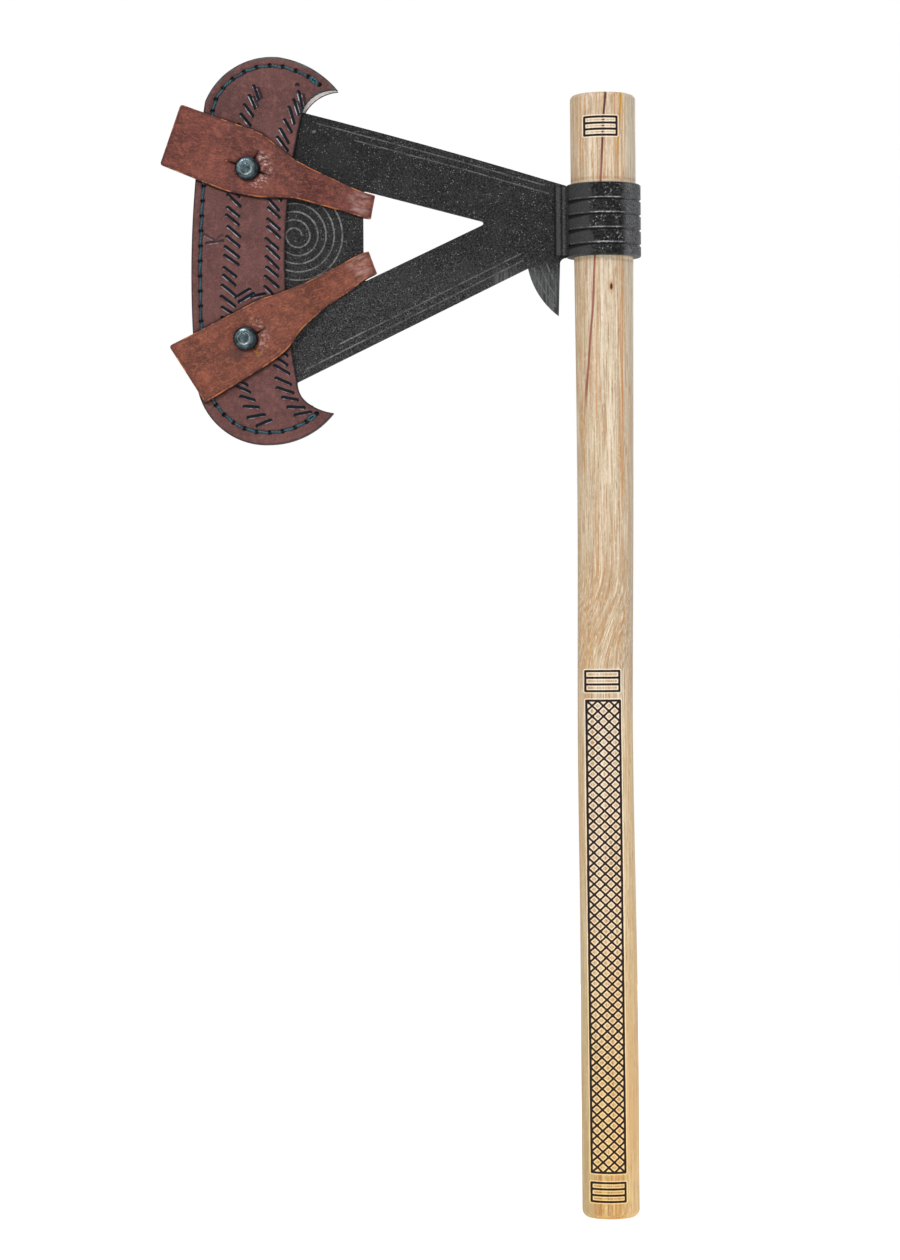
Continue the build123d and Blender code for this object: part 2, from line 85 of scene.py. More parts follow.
GUARD_OUTER_ARCS = (
    ((-143.0, 609.7), (-160.4, 623.6), (-175.0, 628.2)),
    ((-175.0, 628.2), (-200.5, 622.0), (-215.0, 604.5)),
    ((-215.0, 604.5), (-223.0, 520.0), (-220.8, 453.5)),
    ((-220.8, 453.5), (-205.0, 425.7), (-181.5, 418.8)),
    ((-181.5, 418.8), (-162.0, 423.3), (-146.7, 435.6)),
)
LOWER_MOUTH_ARCS = (
    ((-146.7, 435.6), (-154.2, 437.6), (-160.6, 441.2)),
    ((-160.6, 441.2), (-164.8, 446.2), (-166.3, 452.5)),
)
FRONT_MOUTH_ARCS = (
    *LOWER_MOUTH_ARCS,
    ((-166.3, 452.5), (-172.5, 517.8), (-162.6, 597.8)),
    ((-162.6, 597.8), (-157.4, 605.6), (-143.0, 609.7)),
)
# The back panel is cut a little fuller at the upper horn, so its flesh side shows there.
BACK_MOUTH_ARCS = (
    *LOWER_MOUTH_ARCS,
    ((-166.3, 452.5), (-172.5, 517.8), (-161.8, 597.0)),
    ((-161.8, 597.0), (-156.0, 604.55), (-143.0, 609.7)),
)

# Each strap: where its fold starts, the fold's lean in degrees, its stud, the slits of its button
# hole as (heading, how far the tip is from the hole's middle), which slit shows freshly cut leather,
# how puckered it is, and the long edges of its tab (in front) and its tail (at the back).
STRAPS = {
    "upper": {
        "fold": (-129.7, 541.3),
        "lean": 11.0,
        "stud": (-191.3, 567.8),
        "slits": ((161.0, 13.0), (-20.0, 11.4), (62.0, 10.6)),
        "raw_slit": None,
        "pucker": 1.0,
        "tab_top": ((-158.7, 568.1), (-168.3, 573.4), (-184.3, 587.0), (-227.8, 602.5)),
        "tab_bottom": (
            (-239.2, 569.9), (-203.3, 555.5), (-186.0, 552.2), (-168.0, 552.0), (-141.0, 544.8),
        ),
        "tail_top": ((-160.0, 568.3), (-197.0, 582.8)),
        "tail_bottom": ((-203.5, 560.8), (-168.0, 550.8)),
    },
    "lower": {
        "fold": (-126.3, 509.7),
        "lean": -20.0,
        "stud": (-192.9, 476.0),
        "slits": ((30.0, 11.0), (-56.0, 11.6)),
        "raw_slit": 1,
        "pucker": 0.45,
        "tab_top": ((-161.4, 506.0), (-175.0, 500.7), (-186.5, 497.2), (-235.1, 472.1)),
        "tab_bottom": (
            (-215.9, 441.5), (-182.2, 461.9), (-171.5, 469.4), (-164.3, 480.3), (-150.0, 493.8),
            (-137.0, 501.8),
        ),
        "tail_top": ((-160.0, 505.8), (-197.5, 484.8)),
        "tail_bottom": ((-205.0, 464.3), (-168.0, 475.8)),
    },
}


# ---- outlines ----
def direction(degrees):
    return np.array((math.cos(math.radians(degrees)), math.sin(math.radians(degrees))))


def left_of(vector):
    return np.array((-vector[1], vector[0]))


def arc_through(start, middle, end, step):
    """Points along the circular arc through three points, without its last point."""
    (ax, ay), (bx, by), (cx, cy) = start, middle, end
    twice_area = 2 * (ax * (by - cy) + bx * (cy - ay) + cx * (ay - by))
    a2, b2, c2 = ax * ax + ay * ay, bx * bx + by * by, cx * cx + cy * cy
    ox = (a2 * (by - cy) + b2 * (cy - ay) + c2 * (ay - by)) / twice_area
    oy = (a2 * (cx - bx) + b2 * (ax - cx) + c2 * (bx - ax)) / twice_area
    radius = math.hypot(ax - ox, ay - oy)
    first, through, last = (math.atan2(y - oy, x - ox) for x, y in (start, middle, end))
    turn = (last - first) % math.tau
    if (through - first) % math.tau > turn:
        turn -= math.tau
    count = max(2, round(abs(turn) * radius / step))
    angles = first + turn * np.arange(count) / count
    return np.column_stack((ox + radius * np.cos(angles), oy + radius * np.sin(angles)))


def arcs_outline(arcs, step):
    return np.vstack([arc_through(*arc, step) for arc in arcs])


def rounded_outline(corners, step):
    """Closed outline through (x, y, radius) corners, each rounded as far as its two sides allow."""
    allowed_share, nearly_straight = 0.48, 1.56
    points = []
    for index, (x, y, radius) in enumerate(corners):
        here = np.array((x, y))
        before = np.array(corners[index - 1][:2]) - here
        after = np.array(corners[(index + 1) % len(corners)][:2]) - here
        reach_before, reach_after = np.linalg.norm(before), np.linalg.norm(after)
        before, after = before / reach_before, after / reach_after
        half = 0.5 * math.acos(np.clip(before @ after, -1, 1))
        allowed = allowed_share * min(reach_before, reach_after)
        cut = min(radius / math.tan(half), allowed) if half < nearly_straight else 0.0
        for share in np.linspace(0, 1, max(2, round(2 * cut / step))):
            # a quadratic curve from one side to the other, with the corner as its control point
            points.append(
                (1 - share) ** 2 * (here + before * cut)
                + 2 * share * (1 - share) * here
                + share**2 * (here + after * cut)
            )
    return resampled(np.array(points), step)


def travelled_along(points):
    """How far along a line of points each of them lies."""
    return np.concatenate(([0], np.cumsum(np.hypot(*np.diff(points, axis=0).T))))


def resampled(points, step):
    """A closed outline with its points an even step apart."""
    closed = np.vstack((points, points[:1]))
    moved = np.linalg.norm(np.diff(closed, axis=0), axis=1) > 1e-6
    closed = closed[np.concatenate(([True], moved))]
    travelled = travelled_along(closed)
    count = round(travelled[-1] / step)
    wanted = travelled[-1] * np.arange(count) / count
    return np.column_stack([np.interp(wanted, travelled, closed[:, k]) for k in (0, 1)])


def distance_to(points, outline, closed=True):
    """How far each point is from an outline."""
    starts = outline if closed else outline[:-1]
    ends = np.roll(outline, -1, axis=0) if closed else outline[1:]
    best = np.full(len(points), FAR)
    for start, end in zip(starts, ends):
        side = end - start
        share = np.clip(((points - start) @ side) / max(side @ side, 1e-12), 0, 1)
        best = np.minimum(best, np.hypot(*(points - start - share[:, None] * side).T))
    return best


def distance_to_loops(points, loops):
    return np.min([distance_to(points, loop) for loop in loops], axis=0)


def distance_to_centres(points, centres):
    return np.min([np.hypot(*(points - centre).T) for centre in centres], axis=0)


def is_inside(points, outline):
    """Whether each point lies inside a closed outline."""
    inside = np.zeros(len(points), bool)
    x, y = points.T
    for (ax, ay), (bx, by) in zip(outline, np.roll(outline, -1, axis=0)):
        if ay == by:
            continue
        crosses = (ay > y) != (by > y)
        inside ^= crosses & (x < (bx - ax) * (y - ay) / (by - ay) + ax)
    return inside


def triangle_grid(low, high, spacing):
    """Evenly spread points, in rows that are half a step apart."""
    rows = np.arange(low[1], high[1], spacing * math.sqrt(3) / 2)
    points = []
    for index, y in enumerate(rows):
        across = np.arange(low[0] + (index % 2) * spacing / 2, high[0], spacing)
        points.append(np.column_stack((across, np.full(len(across), y))))
    return np.vstack(points)


def points_round(centre, radii, count):
    """Rings of points round a centre, each turned a little from the next."""
    turns = np.arange(count) * math.tau / count
    rings = [np.column_stack((np.cos(turns + radius), np.sin(turns + radius))) for radius in radii]
    return [centre + radius * ring for radius, ring in zip(radii, rings)]


def smoothstep(value, low, high):
    share = np.clip((value - low) / (high - low), 0, 1)
    return share * share * (3 - 2 * share)


def edge_drop(distance, radius):
    """How far a surface has fallen at a distance from its rounded edge."""
    inward = radius - np.minimum(distance, radius)
    return radius - np.sqrt(radius**2 - inward**2)


def ripple(points, length, seed):
    """A smooth wandering height between about -1 and 1 that repeats nowhere near."""
    x, y = points[:, 0] / length, points[:, 1] / length
    waves = random.Random(seed)
    total = np.zeros(len(points))
    for _ in range(6):
        heading = waves.uniform(0, math.pi)
        phase = waves.uniform(0, math.tau)
        pitch = waves.uniform(0.6, 1.7)
        total += np.sin((x * math.cos(heading) + y * math.sin(heading)) * pitch * math.tau + phase)
    return total / 3


# ---- meshes ----
def add_object(name, vertices, faces):
    """A smooth-shaded mesh object from points in millimetres."""
    mesh = bpy.data.meshes.new(name)
    mesh.from_pydata((np.asarray(vertices) * MM).tolist(), [], [tuple(int(i) for i in f) for f in faces])
    mesh.update()
    mesh.shade_smooth()
    return in_scene(bpy.data.objects.new(name, mesh))


def in_scene(thing):
    bpy.context.scene.collection.objects.link(thing)
    return thing


def store(piece, name, values):
    """Keeps one number for each vertex, for the piece's material."""
    attribute = piece.data.attributes.new(name, "FLOAT", "POINT")
    attribute.data.foreach_set("value", np.asarray(values, np.float32))


def finish_piece(piece, material, body, node):
    piece.data.materials.append(material)
    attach(piece, body)
    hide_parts(node)


# how far inside a sheet's edge its rounded border has rows of points
EDGE_STEPS = (0.1, 0.28, 0.55, 0.95)


def edge_rows(loop):
    """Rows of points on both sides of a loop, close beside it."""
    ahead = np.roll(loop, -1, axis=0) - np.roll(loop, 1, axis=0)
    ahead /= np.linalg.norm(ahead, axis=1)[:, None]
    left = np.column_stack((-ahead[:, 1], ahead[:, 0]))
    rows = []
    for step in EDGE_STEPS:
        for side in (1, -1):
            row = loop + side * step * left
            rows.append(row[distance_to(row, loop) > 0.97 * step])
    return rows


def on_sheet(points, outline, holes):
    """Whether each point lies inside the outline and outside every hole."""
    keep = is_inside(points, outline)
    for hole in holes:
        keep &= ~is_inside(points, hole)
    return keep


def sheet_points(outline, holes, extra, spacing):
    """A sheet's flat points: its loops, rows beside them, an even grid and the extra points."""
    loops = [outline, *holes]
    rows = [row for loop in loops for row in edge_rows(loop)]
    grid = triangle_grid(outline.min(0), outline.max(0), spacing)
    beyond = np.min([np.hypot(*(grid - centre).T) - reach for _, centre, reach in extra], axis=0)
    grid = np.vstack((grid[beyond > 0.6 * spacing], *(points for points, _, _ in extra)))
    grid = grid[distance_to_loops(grid, loops) > EDGE_STEPS[-1] + 0.4 * spacing]
    inner = np.vstack((*rows, grid))
    return np.vstack((*loops, inner[on_sheet(inner, outline, holes)]))


def triangulated(flat, loops):
    """Triangles between flat points, of which the first are the loops' own points."""
    edges, first = [], 0
    for loop in loops:
        edges += [(first + i, first + (i + 1) % len(loop)) for i in range(len(loop))]
        first += len(loop)
    found, _, faces, _, _, _ = delaunay_2d_cdt(flat.tolist(), edges, [], 0, 1e-5)
    triangles = [face for face in faces if len(face) == 3]
    return np.array([tuple(point) for point in found]), np.array(triangles)


def two_sided_faces(flat, triangles):
    """The triangles of the outer face, the same ones on the inner face, and the border between."""
    count = len(flat)
    a, b, c = (flat[triangles[:, corner]] for corner in range(3))
    clockwise = ((b - a)[:, 0] * (c - a)[:, 1] - (b - a)[:, 1] * (c - a)[:, 0]) < 0
    triangles[clockwise] = triangles[clockwise][:, ::-1]
    faces = [tuple(t) for t in triangles] + [tuple(t[::-1] + count) for t in triangles]
    directed = {(t[i], t[(i + 1) % 3]) for t in triangles.tolist() for i in range(3)}
    for start, end in directed:
        if (end, start) not in directed:
            faces.append((end, start, start + count, end + count))
    return faces


def sheet(name, outline, holes, extra, spacing, outer, inner, place, edge_round):
    """A sheet of leather with rounded edges, from a flat outline with holes.

    extra is a list of (flat points, centre, reach): finer points, and the disc that they fill. outer
    and inner give the height of the two faces at flat points, and place puts flat points at a height
    into space. Returns the piece and its flat points, which both of its faces have.
    """
    loops = [outline, *holes]
    flat, triangles = triangulated(sheet_points(outline, holes, extra, spacing), loops)
    triangles = triangles[on_sheet(flat[triangles].mean(1), outline, holes)]
    used, triangles = np.unique(triangles, return_inverse=True)
    flat, triangles = flat[used], triangles.reshape(-1, 3)
    to_edge = distance_to_loops(flat, loops)
    drop = edge_drop(to_edge, edge_round)
    vertices = np.vstack((place(flat, outer(flat) - drop), place(flat, inner(flat) + drop)))
    piece = add_object(name, vertices, two_sided_faces(flat, triangles))
    store(piece, "edge_distance", np.tile(to_edge, 2))
    store(piece, "outer_face", np.repeat((1.0, 0.0), len(flat)))
    return piece, flat


def lathe(name, profile, columns, place):
    """A turned solid: profile is (radius, height) from one pole to the other, columns are angles."""
    count, rows = len(columns), len(profile) - 2
    rings = [
        place(radius * np.cos(columns), radius * np.sin(columns), np.full(count, height))
        for radius, height in profile[1:-1]
    ]
    poles = [place(np.zeros(1), np.zeros(1), np.full(1, profile[end][1])) for end in (0, -1)]
    faces = []
    for row in range(rows - 1):
        for column in range(count):
            beside = (column + 1) % count
            faces.append((
                row * count + column, row * count + beside,
                (row + 1) * count + beside, (row + 1) * count + column,
            ))
    for column in range(count):
        beside = (column + 1) % count
        faces.append((rows * count, beside, column))
        faces.append((rows * count + 1, (rows - 1) * count + column, (rows - 1) * count + beside))
    return add_object(name, np.vstack((*rings, *poles)), faces)


# ---- materials ----
def srgb(red, green, blue):
    """A colour given as it looks on a screen, from 0 to 255."""
    shares = [value / 255 for value in (red, green, blue)]
    linear = [s / 12.92 if s <= 0.04045 else ((s + 0.055) / 1.055) ** 2.4 for s in shares]
    return (*linear, 1.0)


class Shader:
    """A new material, the colour laid down so far, and short calls that add nodes.

    Places are in metres on the object, and noise and cells take their scale in repeats per metre.
    """

    def __init__(self, name, roughness=0.5, metallic=0.0, specular=0.5):
        self.material = bpy.data.materials.new(name)
        self.material.use_nodes = True
        self.tree = self.material.node_tree
        self.tree.nodes.clear()
        self.surface = self.add("ShaderNodeBsdfPrincipled")
        output = self.add("ShaderNodeOutputMaterial")
        self.tree.links.new(self.surface.outputs["BSDF"], output.inputs["Surface"])
        self.surface.inputs["Roughness"].default_value = roughness
        self.surface.inputs["Metallic"].default_value = metallic
        self.surface.inputs["Specular IOR Level"].default_value = specular
        coordinates = self.add("ShaderNodeTexCoord")
        self.places = coordinates.outputs["Object"]
        self.x, self.y, self.z = self.axes(self.places)
        self.normals = self.axes(coordinates.outputs["Normal"])
        self.colour = None

    def add(self, kind, **settings):
        node = self.tree.nodes.new(kind)
        for setting, value in settings.items():
            setattr(node, setting, value)
        return node

    def put(self, socket, value):
        if isinstance(value, bpy.types.NodeSocket):
            self.tree.links.new(value, socket)
        elif value is not None:
            socket.default_value = value

    def filled(self, kind, *values, **settings):
        """A new node's first output, with its first inputs filled."""
        node = self.add(kind, **settings)
        for socket, value in zip(node.inputs, values):
            self.put(socket, value)
        return node.outputs[0]

    def math(self, operation, *values):
        return self.filled("ShaderNodeMath", *values, operation=operation)

    def times(self, first, *others):
        """The product of masks or numbers."""
        for other in others:
            first = self.math("MULTIPLY", first, other)
        return first

    def scaled(self, value, factor, shift):
        """value * factor + shift"""
        return self.math("MULTIPLY_ADD", value, factor, shift)

    def off(self, value, centre):
        """How far a value is from a centre, on either side."""
        return self.math("ABSOLUTE", self.math("SUBTRACT", value, centre))

    def ramp(self, value, low, high, start=0.0, end=1.0):
        """start on low's side, end on high's side, and a smooth change between them."""
        return self.filled(
            "ShaderNodeMapRange", value, low, high, start, end, interpolation_type="SMOOTHSTEP"
        )

    def combined(self, x, y, z):
        return self.filled("ShaderNodeCombineXYZ", x, y, z)

    def axes(self, vector):
        node = self.add("ShaderNodeSeparateXYZ")
        self.put(node.inputs[0], vector)
        return node.outputs

    def mix(self, factor, a, b):
        node = self.add("ShaderNodeMix", data_type="RGBA")
        self.put(node.inputs[0], factor)
        self.put(node.inputs[6], a)
        self.put(node.inputs[7], b)
        return node.outputs[2]

    def layer(self, tone, *masks):
        """Lays a tone over the colour so far, as strongly as the product of the masks."""
        self.colour = self.mix(self.times(*masks), self.colour, tone)

    def stretched(self, scale, places, turn):
        node = self.add("ShaderNodeMapping")
        self.put(node.inputs["Vector"], places or self.places)
        node.inputs["Scale"].default_value = scale if isinstance(scale, tuple) else (scale,) * 3
        node.inputs["Rotation"].default_value = turn
        return node.outputs[0]

    def noise(self, scale, detail=2.0, rough=0.5, places=None, turn=(0, 0, 0)):
        """Noise whose features are 1 / scale metres across; scale is one number or one for each axis."""
        node = self.add("ShaderNodeTexNoise")
        self.put(node.inputs["Vector"], self.stretched(scale, places, turn))
        node.inputs["Scale"].default_value = 1.0
        node.inputs["Detail"].default_value = detail
        node.inputs["Roughness"].default_value = rough
        return node.outputs[0]

    def cells(self, scale):
        """Distance to the nearest of many scattered points."""
        node = self.add("ShaderNodeTexVoronoi")
        self.put(node.inputs["Vector"], self.stretched(scale, None, (0, 0, 0)))
        node.inputs["Scale"].default_value = 1.0
        return node.outputs["Distance"]

    def kept(self, name):
        """A number stored for each vertex."""
        return self.add("ShaderNodeAttribute", attribute_name=name).outputs["Fac"]

    def bump(self, height, distance, strength=1.0):
        node = self.add("ShaderNodeBump")
        self.put(node.inputs["Height"], height)
        node.inputs["Distance"].default_value = distance
        node.inputs["Strength"].default_value = strength
        return node.outputs[0]

    def finish(self, normal, roughness=None, metallic=None):
        for name, value in (
            ("Base Color", self.colour), ("Roughness", roughness), ("Normal", normal),
            ("Metallic", metallic),
        ):
            self.put(self.surface.inputs[name], value)
        return self.material


# ---- wood ----
# heights and places on the haft, in metres
LEAN_FROM, LEAN_TO, LEAN_SHIFT = 0.292, 0.352, 0.016
WARM_BELOW, COLD_ABOVE = -0.01, 0.29
KNOT_X, KNOT_Z, KNOT_FLATTENED = 0.0033, 0.5019, 0.42
# mineral streaks: (x at the haft's top, lean, half width, lowest height, strength, colour)
MINERAL_STREAKS = (
    (0.0008, 0.068, 0.0009, 0.43, 0.9, srgb(138, 70, 54)),
    (0.0008, 0.068, 0.0008, 0.562, 0.9, srgb(74, 34, 42)),
    (0.0088, 0.060, 0.0009, 0.566, 1.0, srgb(190, 136, 4)),
    (0.0058, 0.004, 0.0005, 0.555, 0.5, srgb(176, 110, 50)),
    (0.0117, 0.030, 0.0006, 0.53, 0.35, srgb(178, 128, 70)),
    (0.0096, 0.004, 0.0005, 0.37, 0.6, srgb(192, 124, 56)),
    (0.0066, -0.012, 0.0004, 0.42, 0.5, srgb(190, 126, 62)),
    (-0.0036, 0.010, 0.0004, 0.45, 0.45, srgb(186, 128, 72)),
    (-0.0080, 0.020, 0.0006, 0.50, 0.3, srgb(178, 128, 80)),
)
# where the ring has rubbed the wood: (height, reach, colour, strength)
RING_RUBS = (
    (EYE_TOP + 1.0, 0.8, srgb(246, 226, 190), 0.7),
    (EYE_TOP + 2.5, 1.0, srgb(176, 116, 66), 0.5),
    (EYE_BOTTOM - 1.0, 0.8, srgb(238, 220, 190), 0.5),
    (EYE_BOTTOM - 2.6, 0.9, srgb(170, 112, 70), 0.45),
)


def wood_material():
    """Oiled pale hardwood with mineral streaks, a pin knot and burned marks."""
    s = Shader("haft_wood", specular=0.3)
    # the grain leans over towards the ring for a short way above the lattice
    leaning_x = s.math("SUBTRACT", s.x, s.ramp(s.z, LEAN_FROM, LEAN_TO, 0.0, LEAN_SHIFT))
    leaning = s.combined(leaning_x, s.y, s.z)
    wander = s.noise((45, 45, 5), detail=3)
    fibres = s.noise((760, 760, 18), detail=5, rough=0.7, places=leaning)
    stipple = s.noise((1000, 1000, 420), detail=3, rough=0.7)
    warmth = s.ramp(s.z, COLD_ABOVE, WARM_BELOW)
    grow_wood(s, wander, leaning, leaning_x, warmth, fibres, stipple)
    pores = s.ramp(s.noise((2300, 2300, 95), detail=1), 0.62, 0.72, 0.0, 0.6)
    s.layer(srgb(138, 100, 66), pores)
    rub_beside_ring(s, wander, fibres)
    facing = s.ramp(s.y, 0.0, -0.004)
    streak_with_minerals(s, facing)
    grow_pin_knot(s, facing)
    scorch = burn_marks(s, warmth)
    height = s.math("ADD", s.times(fibres, 0.6), s.times(pores, -0.8))
    height = s.scaled(stipple, 0.3, height)
    roughness = s.scaled(scorch, 0.25, s.ramp(fibres, 0.3, 0.7, 0.42, 0.56))
    return s.finish(s.bump(height, 0.00012), roughness)


def grow_wood(s, wander, leaning, leaning_x, warmth, fibres, stipple):
    """Growth rings, fibres and stains, all warmer towards the foot, where the hand has been, with painted
    shade on the haft's left side and painted light on its right side.
    """
    pale = s.mix(warmth, srgb(219, 205, 182), srgb(204, 169, 104))
    deep = s.mix(warmth, srgb(182, 157, 124), srgb(166, 120, 60))
    dark_fibre = s.mix(warmth, srgb(156, 118, 80), srgb(146, 98, 44))
    light_fibre = s.mix(warmth, srgb(238, 224, 200), srgb(228, 204, 150))
    streaks = s.noise((150, 150, 5), detail=3, rough=0.6, places=leaning)
    s.colour = s.mix(s.ramp(streaks, 0.34, 0.66, 0.0, 0.85), pale, deep)

    tilt = s.scaled(s.z, 0.035, s.scaled(s.y, 0.55, leaning_x))
    rings = s.scaled(wander, 7.0, s.times(tilt, 330.0))
    wave = s.math("SINE", s.times(rings, math.tau))
    ring_tone = s.ramp(s.math("POWER", s.scaled(wave, 0.5, 0.5), 2.2), 0.0, 1.0)
    s.layer(deep, ring_tone, s.ramp(s.z, 0.53, 0.57, 0.5, 0.36))
    s.layer(deep, s.ramp(s.z, 0.53, 0.50, 0.0, 0.18))
    s.layer(deep, s.ramp(s.z, 0.375, 0.335), s.ramp(s.z, 0.284, 0.306), 0.6)

    figure = s.ramp(s.noise((420, 420, 26), detail=4, rough=0.7, places=leaning), 0.52, 0.60)
    above_lattice = s.times(s.ramp(s.z, 0.42, 0.33, 0.15, 0.8), s.ramp(s.z, 0.03, 0.28, 0.25, 1.0))
    s.layer(srgb(168, 118, 66), figure, above_lattice, 0.6)
    s.layer(dark_fibre, s.ramp(fibres, 0.52, 0.70, 0.0, 0.6))
    s.layer(light_fibre, s.ramp(fibres, 0.48, 0.30, 0.0, 0.7))
    threads = s.noise((1350, 1350, 34), places=leaning)
    thread_tone = s.mix(s.ramp(streaks, 0.42, 0.58), srgb(142, 108, 76), srgb(196, 128, 60))
    s.layer(thread_tone, s.ramp(threads, 0.56, 0.64, 0.0, 0.55))
    s.layer(light_fibre, s.ramp(threads, 0.44, 0.36, 0.0, 0.42))
    s.layer(srgb(150, 120, 88), s.ramp(stipple, 0.54, 0.70, 0.0, 0.35))
    s.layer(light_fibre, s.ramp(stipple, 0.46, 0.30, 0.0, 0.4))

    orange = s.ramp(s.noise((60, 60, 6)), 0.5, 0.72, 0.0, 0.5)
    s.layer(srgb(204, 150, 88), orange, s.ramp(s.z, 0.05, 0.5, 1.0, 0.2))
    # painted shade, grey-green, down the lower left side of the haft, and painted light on its right side,
    # paler low down and greyer higher up
    s.layer(srgb(172, 158, 120), s.ramp(s.x, -0.006, -0.013), s.ramp(s.z, 0.35, 0.05), 0.5)
    s.layer(srgb(232, 206, 156), s.ramp(s.x, 0.004, 0.009), s.ramp(s.z, 0.29, 0.26), 0.3)
    s.layer(srgb(196, 188, 172), s.ramp(s.x, 0.008, 0.0135), s.ramp(s.z, 0.22, 0.36), 0.34)


def rub_beside_ring(s, wander, fibres):
    """The ring has rubbed the wood on both sides of the eye."""
    worn_fibres = s.ramp(fibres, 0.35, 0.6)
    wandering_z = s.scaled(wander, 0.001, s.z)
    for height, reach, tone, strength in RING_RUBS:
        off = s.off(wandering_z, height * MM + 0.0005)
        s.layer(tone, s.ramp(off, 0.2 * reach * MM, reach * MM, strength, 0.0), worn_fibres)


def streak_with_minerals(s, facing):
    shake = s.scaled(s.noise((90, 90, 30)), 0.0022, -0.0011)
    for x_top, lean, width, lowest, strength, tone in MINERAL_STREAKS:
        line_x = s.scaled(s.z, lean, x_top - lean * HAFT_LENGTH * MM)
        off = s.math("ABSOLUTE", s.math("ADD", s.math("SUBTRACT", s.x, line_x), shake))
        across = s.ramp(off, width * 0.3, width, strength, 0.0)
        s.layer(tone, across, s.ramp(s.z, lowest, lowest + 0.02), facing)


def grow_pin_knot(s, facing):
    """A pin knot below the socket ring, on the front."""
    x = s.math("SUBTRACT", s.x, KNOT_X)
    z = s.times(s.math("SUBTRACT", s.z, KNOT_Z), KNOT_FLATTENED)
    knot = s.math("SQRT", s.math("ADD", s.math("POWER", x, 2.0), s.math("POWER", z, 2.0)))
    s.layer(srgb(186, 132, 84), s.ramp(knot, 0.0009, 0.0021, 0.6, 0.0), facing)
    s.layer(srgb(66, 34, 16), s.ramp(knot, 0.0010, 0.0005), facing)


def burn_marks(s, warmth):
    """Burned lines with a pale halo, from the distance in millimetres to the nearest one."""
    away = s.math("ADD", s.kept("mark_distance"), s.scaled(s.noise((1900, 1900, 130)), 0.3, -0.15))
    halo_tone = s.mix(warmth, srgb(250, 238, 214), srgb(250, 216, 142))
    s.layer(halo_tone, s.ramp(away, 0.45, 0.8), s.ramp(away, 1.35, 0.95), 0.75)
    scorch = s.ramp(away, 0.75, 0.5)
    s.layer(srgb(84, 42, 26), scorch)
    s.layer(srgb(22, 12, 14), s.ramp(away, 0.6, 0.3))
    return scorch


# ---- steel ----
# the weld between the ring and the plate: painted light on the bead's strips and painted shade in the dark
# lines beside them and at the ring's edge: (x, reach, colour, strength)
WELD_LIGHT_AND_SHADE_STRIPS = (
    (-0.02465, 0.0015, srgb(84, 84, 85), 0.6),
    (-0.02165, 0.0010, srgb(80, 80, 81), 0.5),
    (-0.0263, 0.0007, srgb(4, 4, 4), 0.6),
    (-0.02275, 0.0006, srgb(14, 14, 15), 0.6),
    (-0.0196, 0.0012, srgb(12, 12, 13), 0.7),
)
# black for the dark blots in the hammered zone and for the painted shadow under each groove
BLOT_AND_SHADOW_BLACK = srgb(10, 10, 11)


def powder_coat_material():
    """Black fine-textured powder coat, thin in the engraved lines, and bare steel on the grind, with
    painted light and shade on the ring and the weld.
    """
    s = Shader("black_steel", specular=0.16)
    facing = s.math("ABSOLUTE", s.normals[1])
    depth = s.math("ABSOLUTE", s.y)
    grains = s.noise(1150, detail=3, rough=0.75)
    specks = s.cells(900)
    pits = s.noise(800, detail=3, rough=0.75)
    # the hammered zone of the ring has ragged borders
    ragged_x = s.scaled(s.noise(260, detail=3, rough=0.7), 0.009, s.math("SUBTRACT", s.x, 0.0045))
    hammered = s.times(s.ramp(ragged_x, -0.0090, -0.0062), s.ramp(ragged_x, 0.0118, 0.0078))
    hammered = s.times(hammered, s.ramp(s.y, 0.0, -0.004))
    on_ring = s.ramp(s.x, -0.0199, -0.0193)

    coat_plate(s, grains, specks)
    coat_ring(s, grains, pits, hammered, on_ring)
    paint_groove_light_and_shade(s, pits, hammered, on_ring)
    paint_weld_light_and_shade(s, grains)
    scrape_engraving(s, depth, facing)
    ground = grind_bevel(s, depth, facing)

    height = s.scaled(specks, 0.6, grains)
    height = s.scaled(s.times(hammered, on_ring), s.times(pits, 3.0), height)
    roughness = s.scaled(ground, -0.2, s.ramp(grains, 0.3, 0.7, 0.66, 0.48))
    return s.finish(s.bump(height, 0.00018, 0.9), roughness, ground)


def coat_plate(s, grains, specks):
    """Grainy black with grey specks, lighter on the lower arm, and brushed lengthwise on the spike."""
    lower = s.ramp(s.z, 0.53, 0.50)
    darker = s.mix(lower, srgb(6, 6, 7), srgb(12, 12, 13))
    lighter = s.mix(lower, srgb(52, 52, 53), srgb(68, 68, 69))
    s.colour = s.mix(s.ramp(grains, 0.40, 0.62), darker, lighter)
    s.layer(srgb(56, 56, 57), s.ramp(s.noise(60, detail=3), 0.45, 0.7, 0.0, 0.25))
    s.layer(srgb(16, 16, 17), s.ramp(s.x, -0.10, -0.14), s.ramp(s.z, 0.552, 0.566, 0.0, 0.28))
    s.layer(srgb(138, 138, 136), s.ramp(specks, 0.3, 0.12), s.ramp(s.noise(380), 0.46, 0.6), 0.8)
    brushed = s.ramp(s.noise((1100, 1100, 60), detail=3), 0.35, 0.65)
    spike_tone = s.mix(brushed, srgb(52, 53, 54), srgb(98, 99, 100))
    s.layer(spike_tone, s.ramp(s.z, 0.516, 0.506), s.ramp(s.x, -0.062, -0.056), 0.75)


